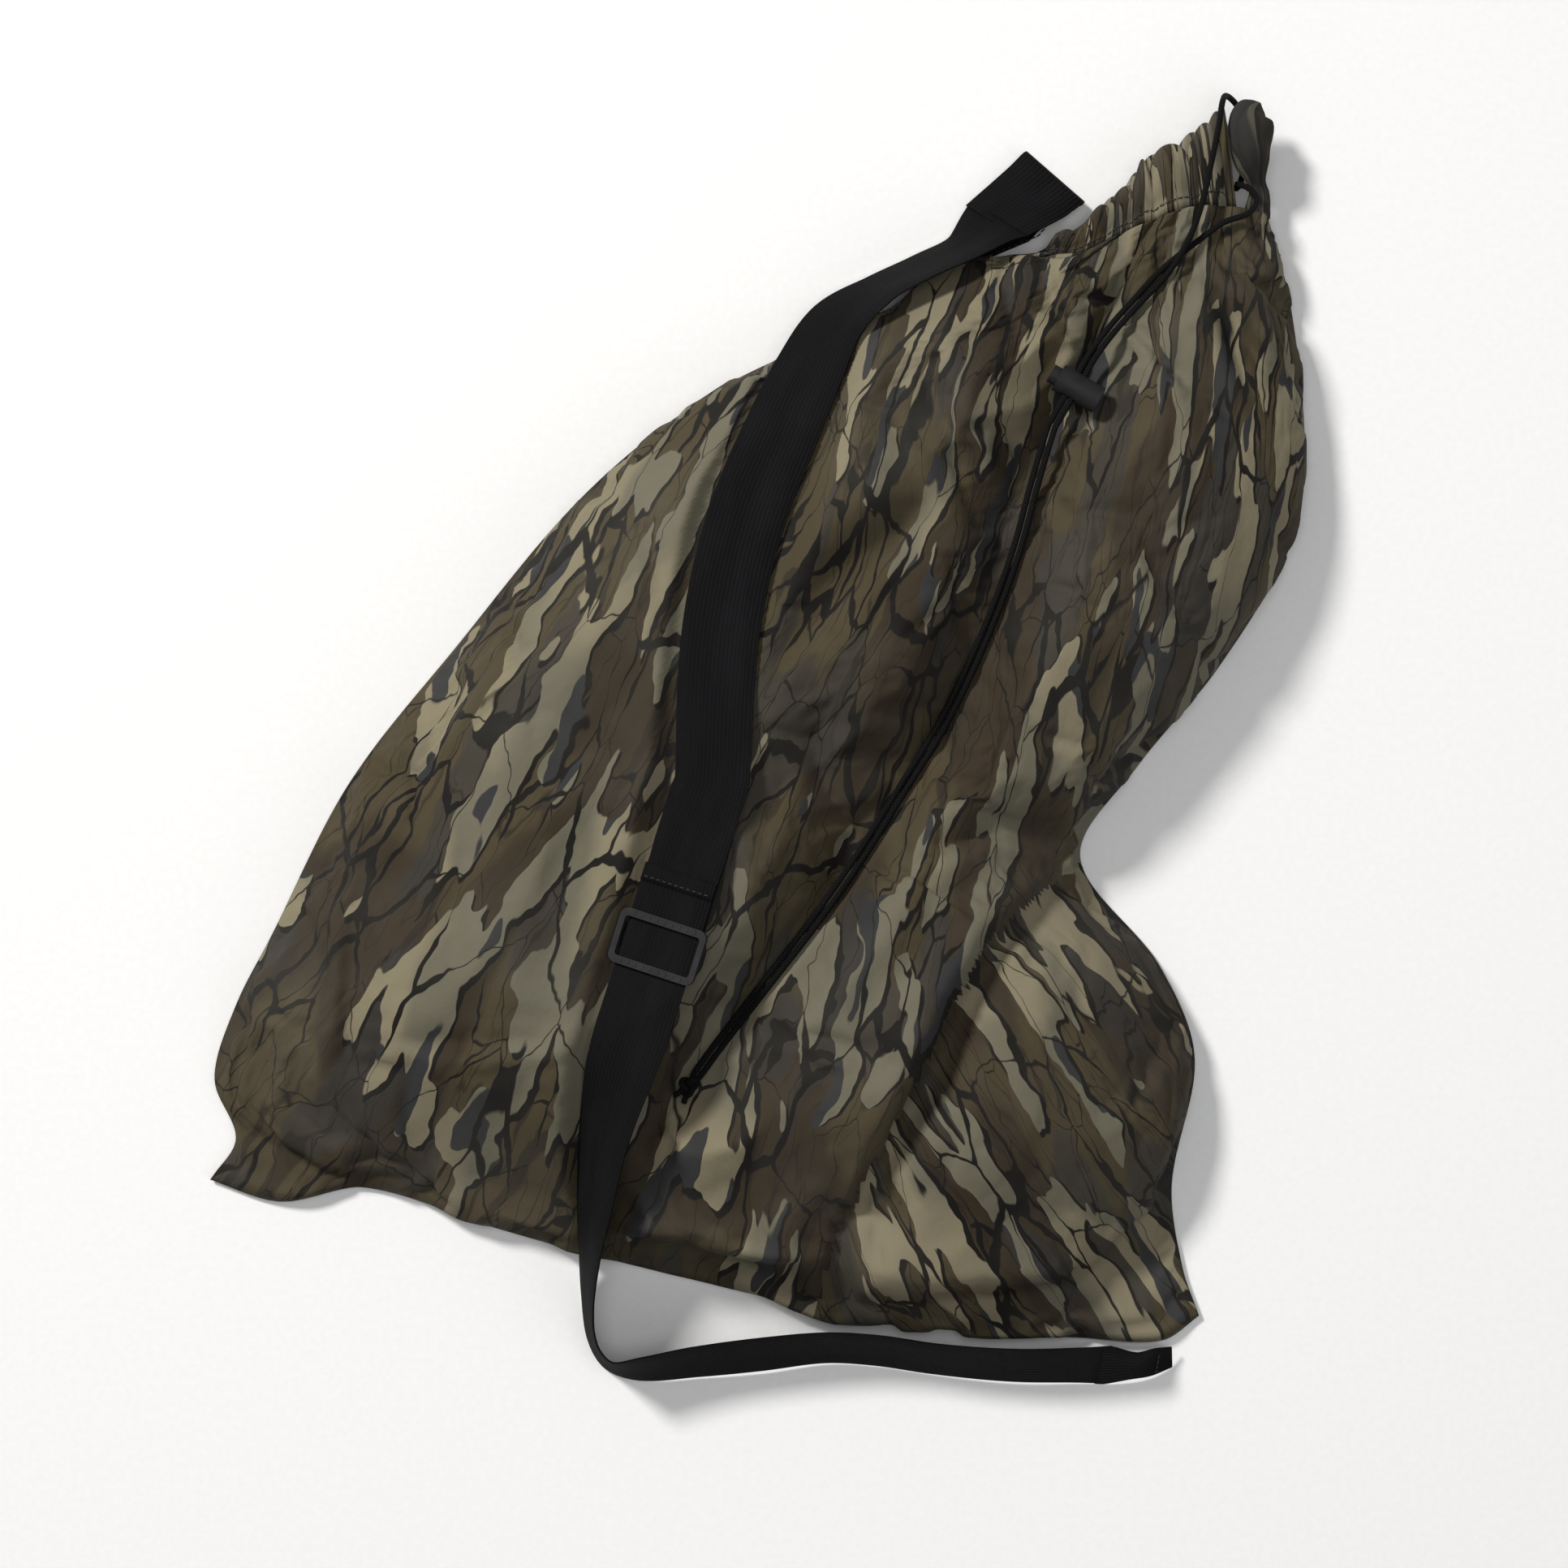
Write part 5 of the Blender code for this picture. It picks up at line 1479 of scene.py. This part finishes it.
def make_cords():
    knot_pieces = make_knot()
    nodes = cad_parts
    lock_pieces = [nodes["cord_lock_body"], nodes["cord_lock_plunger"], make_lock_spring()]
    for name, route, node, on_it in (
        ("free_strand_front", front_route, "drawcord_strand_front", knot_pieces + lock_pieces),
        ("free_strand_back", back_route, "drawcord_strand_back", []),
    ):
        made, points = make_strand(name, route, node)


make_hem_cord()
make_cords()


def finish_cad_nodes():
    """Materials and rounded edges for the CAD nodes that are shown as they are."""
    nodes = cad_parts
    for names, finish in (
        (("cord_lock_body", "cord_lock_plunger"), LOCK_FINISH),
        (("left_side_seam", "right_side_seam", "bottom_seam"), THREAD_FINISH),
    ):
        for name in names:
            materials = nodes[name].data.materials
            materials.clear()
            materials.append(finish)
    for name in ("cord_lock_body", "cord_lock_plunger"):
        add_bevel(nodes[name], 0.0012, 3)


finish_cad_nodes()


# ---- Floor, light and camera --------------------------------------------------------------

FRAME_CENTRE = Vector((0.0175, -0.0241, 0.010))
FRAME_SIDE = 1.024  # metres of floor that the picture takes in
LENS = 100.0
FLOOR_HALF = 12.0


def make_floor():
    m = Maker("pale studio paper")
    place = m.place()
    fibre = m.noise(m.scaled(place, 220, 220), 3.0)
    m.set(Base_Color=m.mix(m.ramp(fibre, 0.2, 0.9), (0.80, 0.80, 0.80), (0.83, 0.83, 0.83)))
    m.set(Roughness=0.9, Specular_IOR_Level=0.2)
    corners = [(x, y, 0) for x, y in rectangle(0, 0, FLOOR_HALF, FLOOR_HALF)]
    mesh = bpy.data.meshes.new("studio_floor")
    mesh.from_pydata(corners, [], [(0, 1, 2, 3)])
    floor = link("studio_floor", mesh, m.material)


def add_light(name, place, size, power, colour=(1.0, 1.0, 1.0)):
    data = bpy.data.lights.new(name, "AREA")
    data.shape = "DISK"
    data.size = size
    data.energy = power
    data.color = colour
    made = bpy.data.objects.new(name, data)
    bpy.context.scene.collection.objects.link(made)
    made.location = place
    made.rotation_euler = (-Vector(place)).to_track_quat("-Z", "Y").to_euler()


def make_studio():
    scene = bpy.context.scene
    make_floor()
    add_light("key light", (-3.3, 3.3, 4.2), 1.2, 400.0, (1.0, 0.98, 0.95))
    add_light("fill light", (2.0, -1.4, 2.2), 2.4, 12.0, (0.95, 0.97, 1.0))
    add_light("top light", (0.2, 0.1, 3.2), 2.0, 30.0)
    world = bpy.data.worlds.new("studio")
    world.use_nodes = True
    background = world.node_tree.nodes["Background"]
    background.inputs["Color"].default_value = (1.0, 1.0, 1.0, 1.0)
    background.inputs["Strength"].default_value = 0.20
    scene.world = world
    scene.view_settings.view_transform = "Standard"
    data = bpy.data.cameras.new("camera")
    data.lens = LENS
    data.sensor_width = 36.0
    camera = bpy.data.objects.new("camera", data)
    scene.collection.objects.link(camera)
    camera.location = FRAME_CENTRE + Vector((0, 0, FRAME_SIDE * LENS / data.sensor_width))
    scene.camera = camera


make_studio()
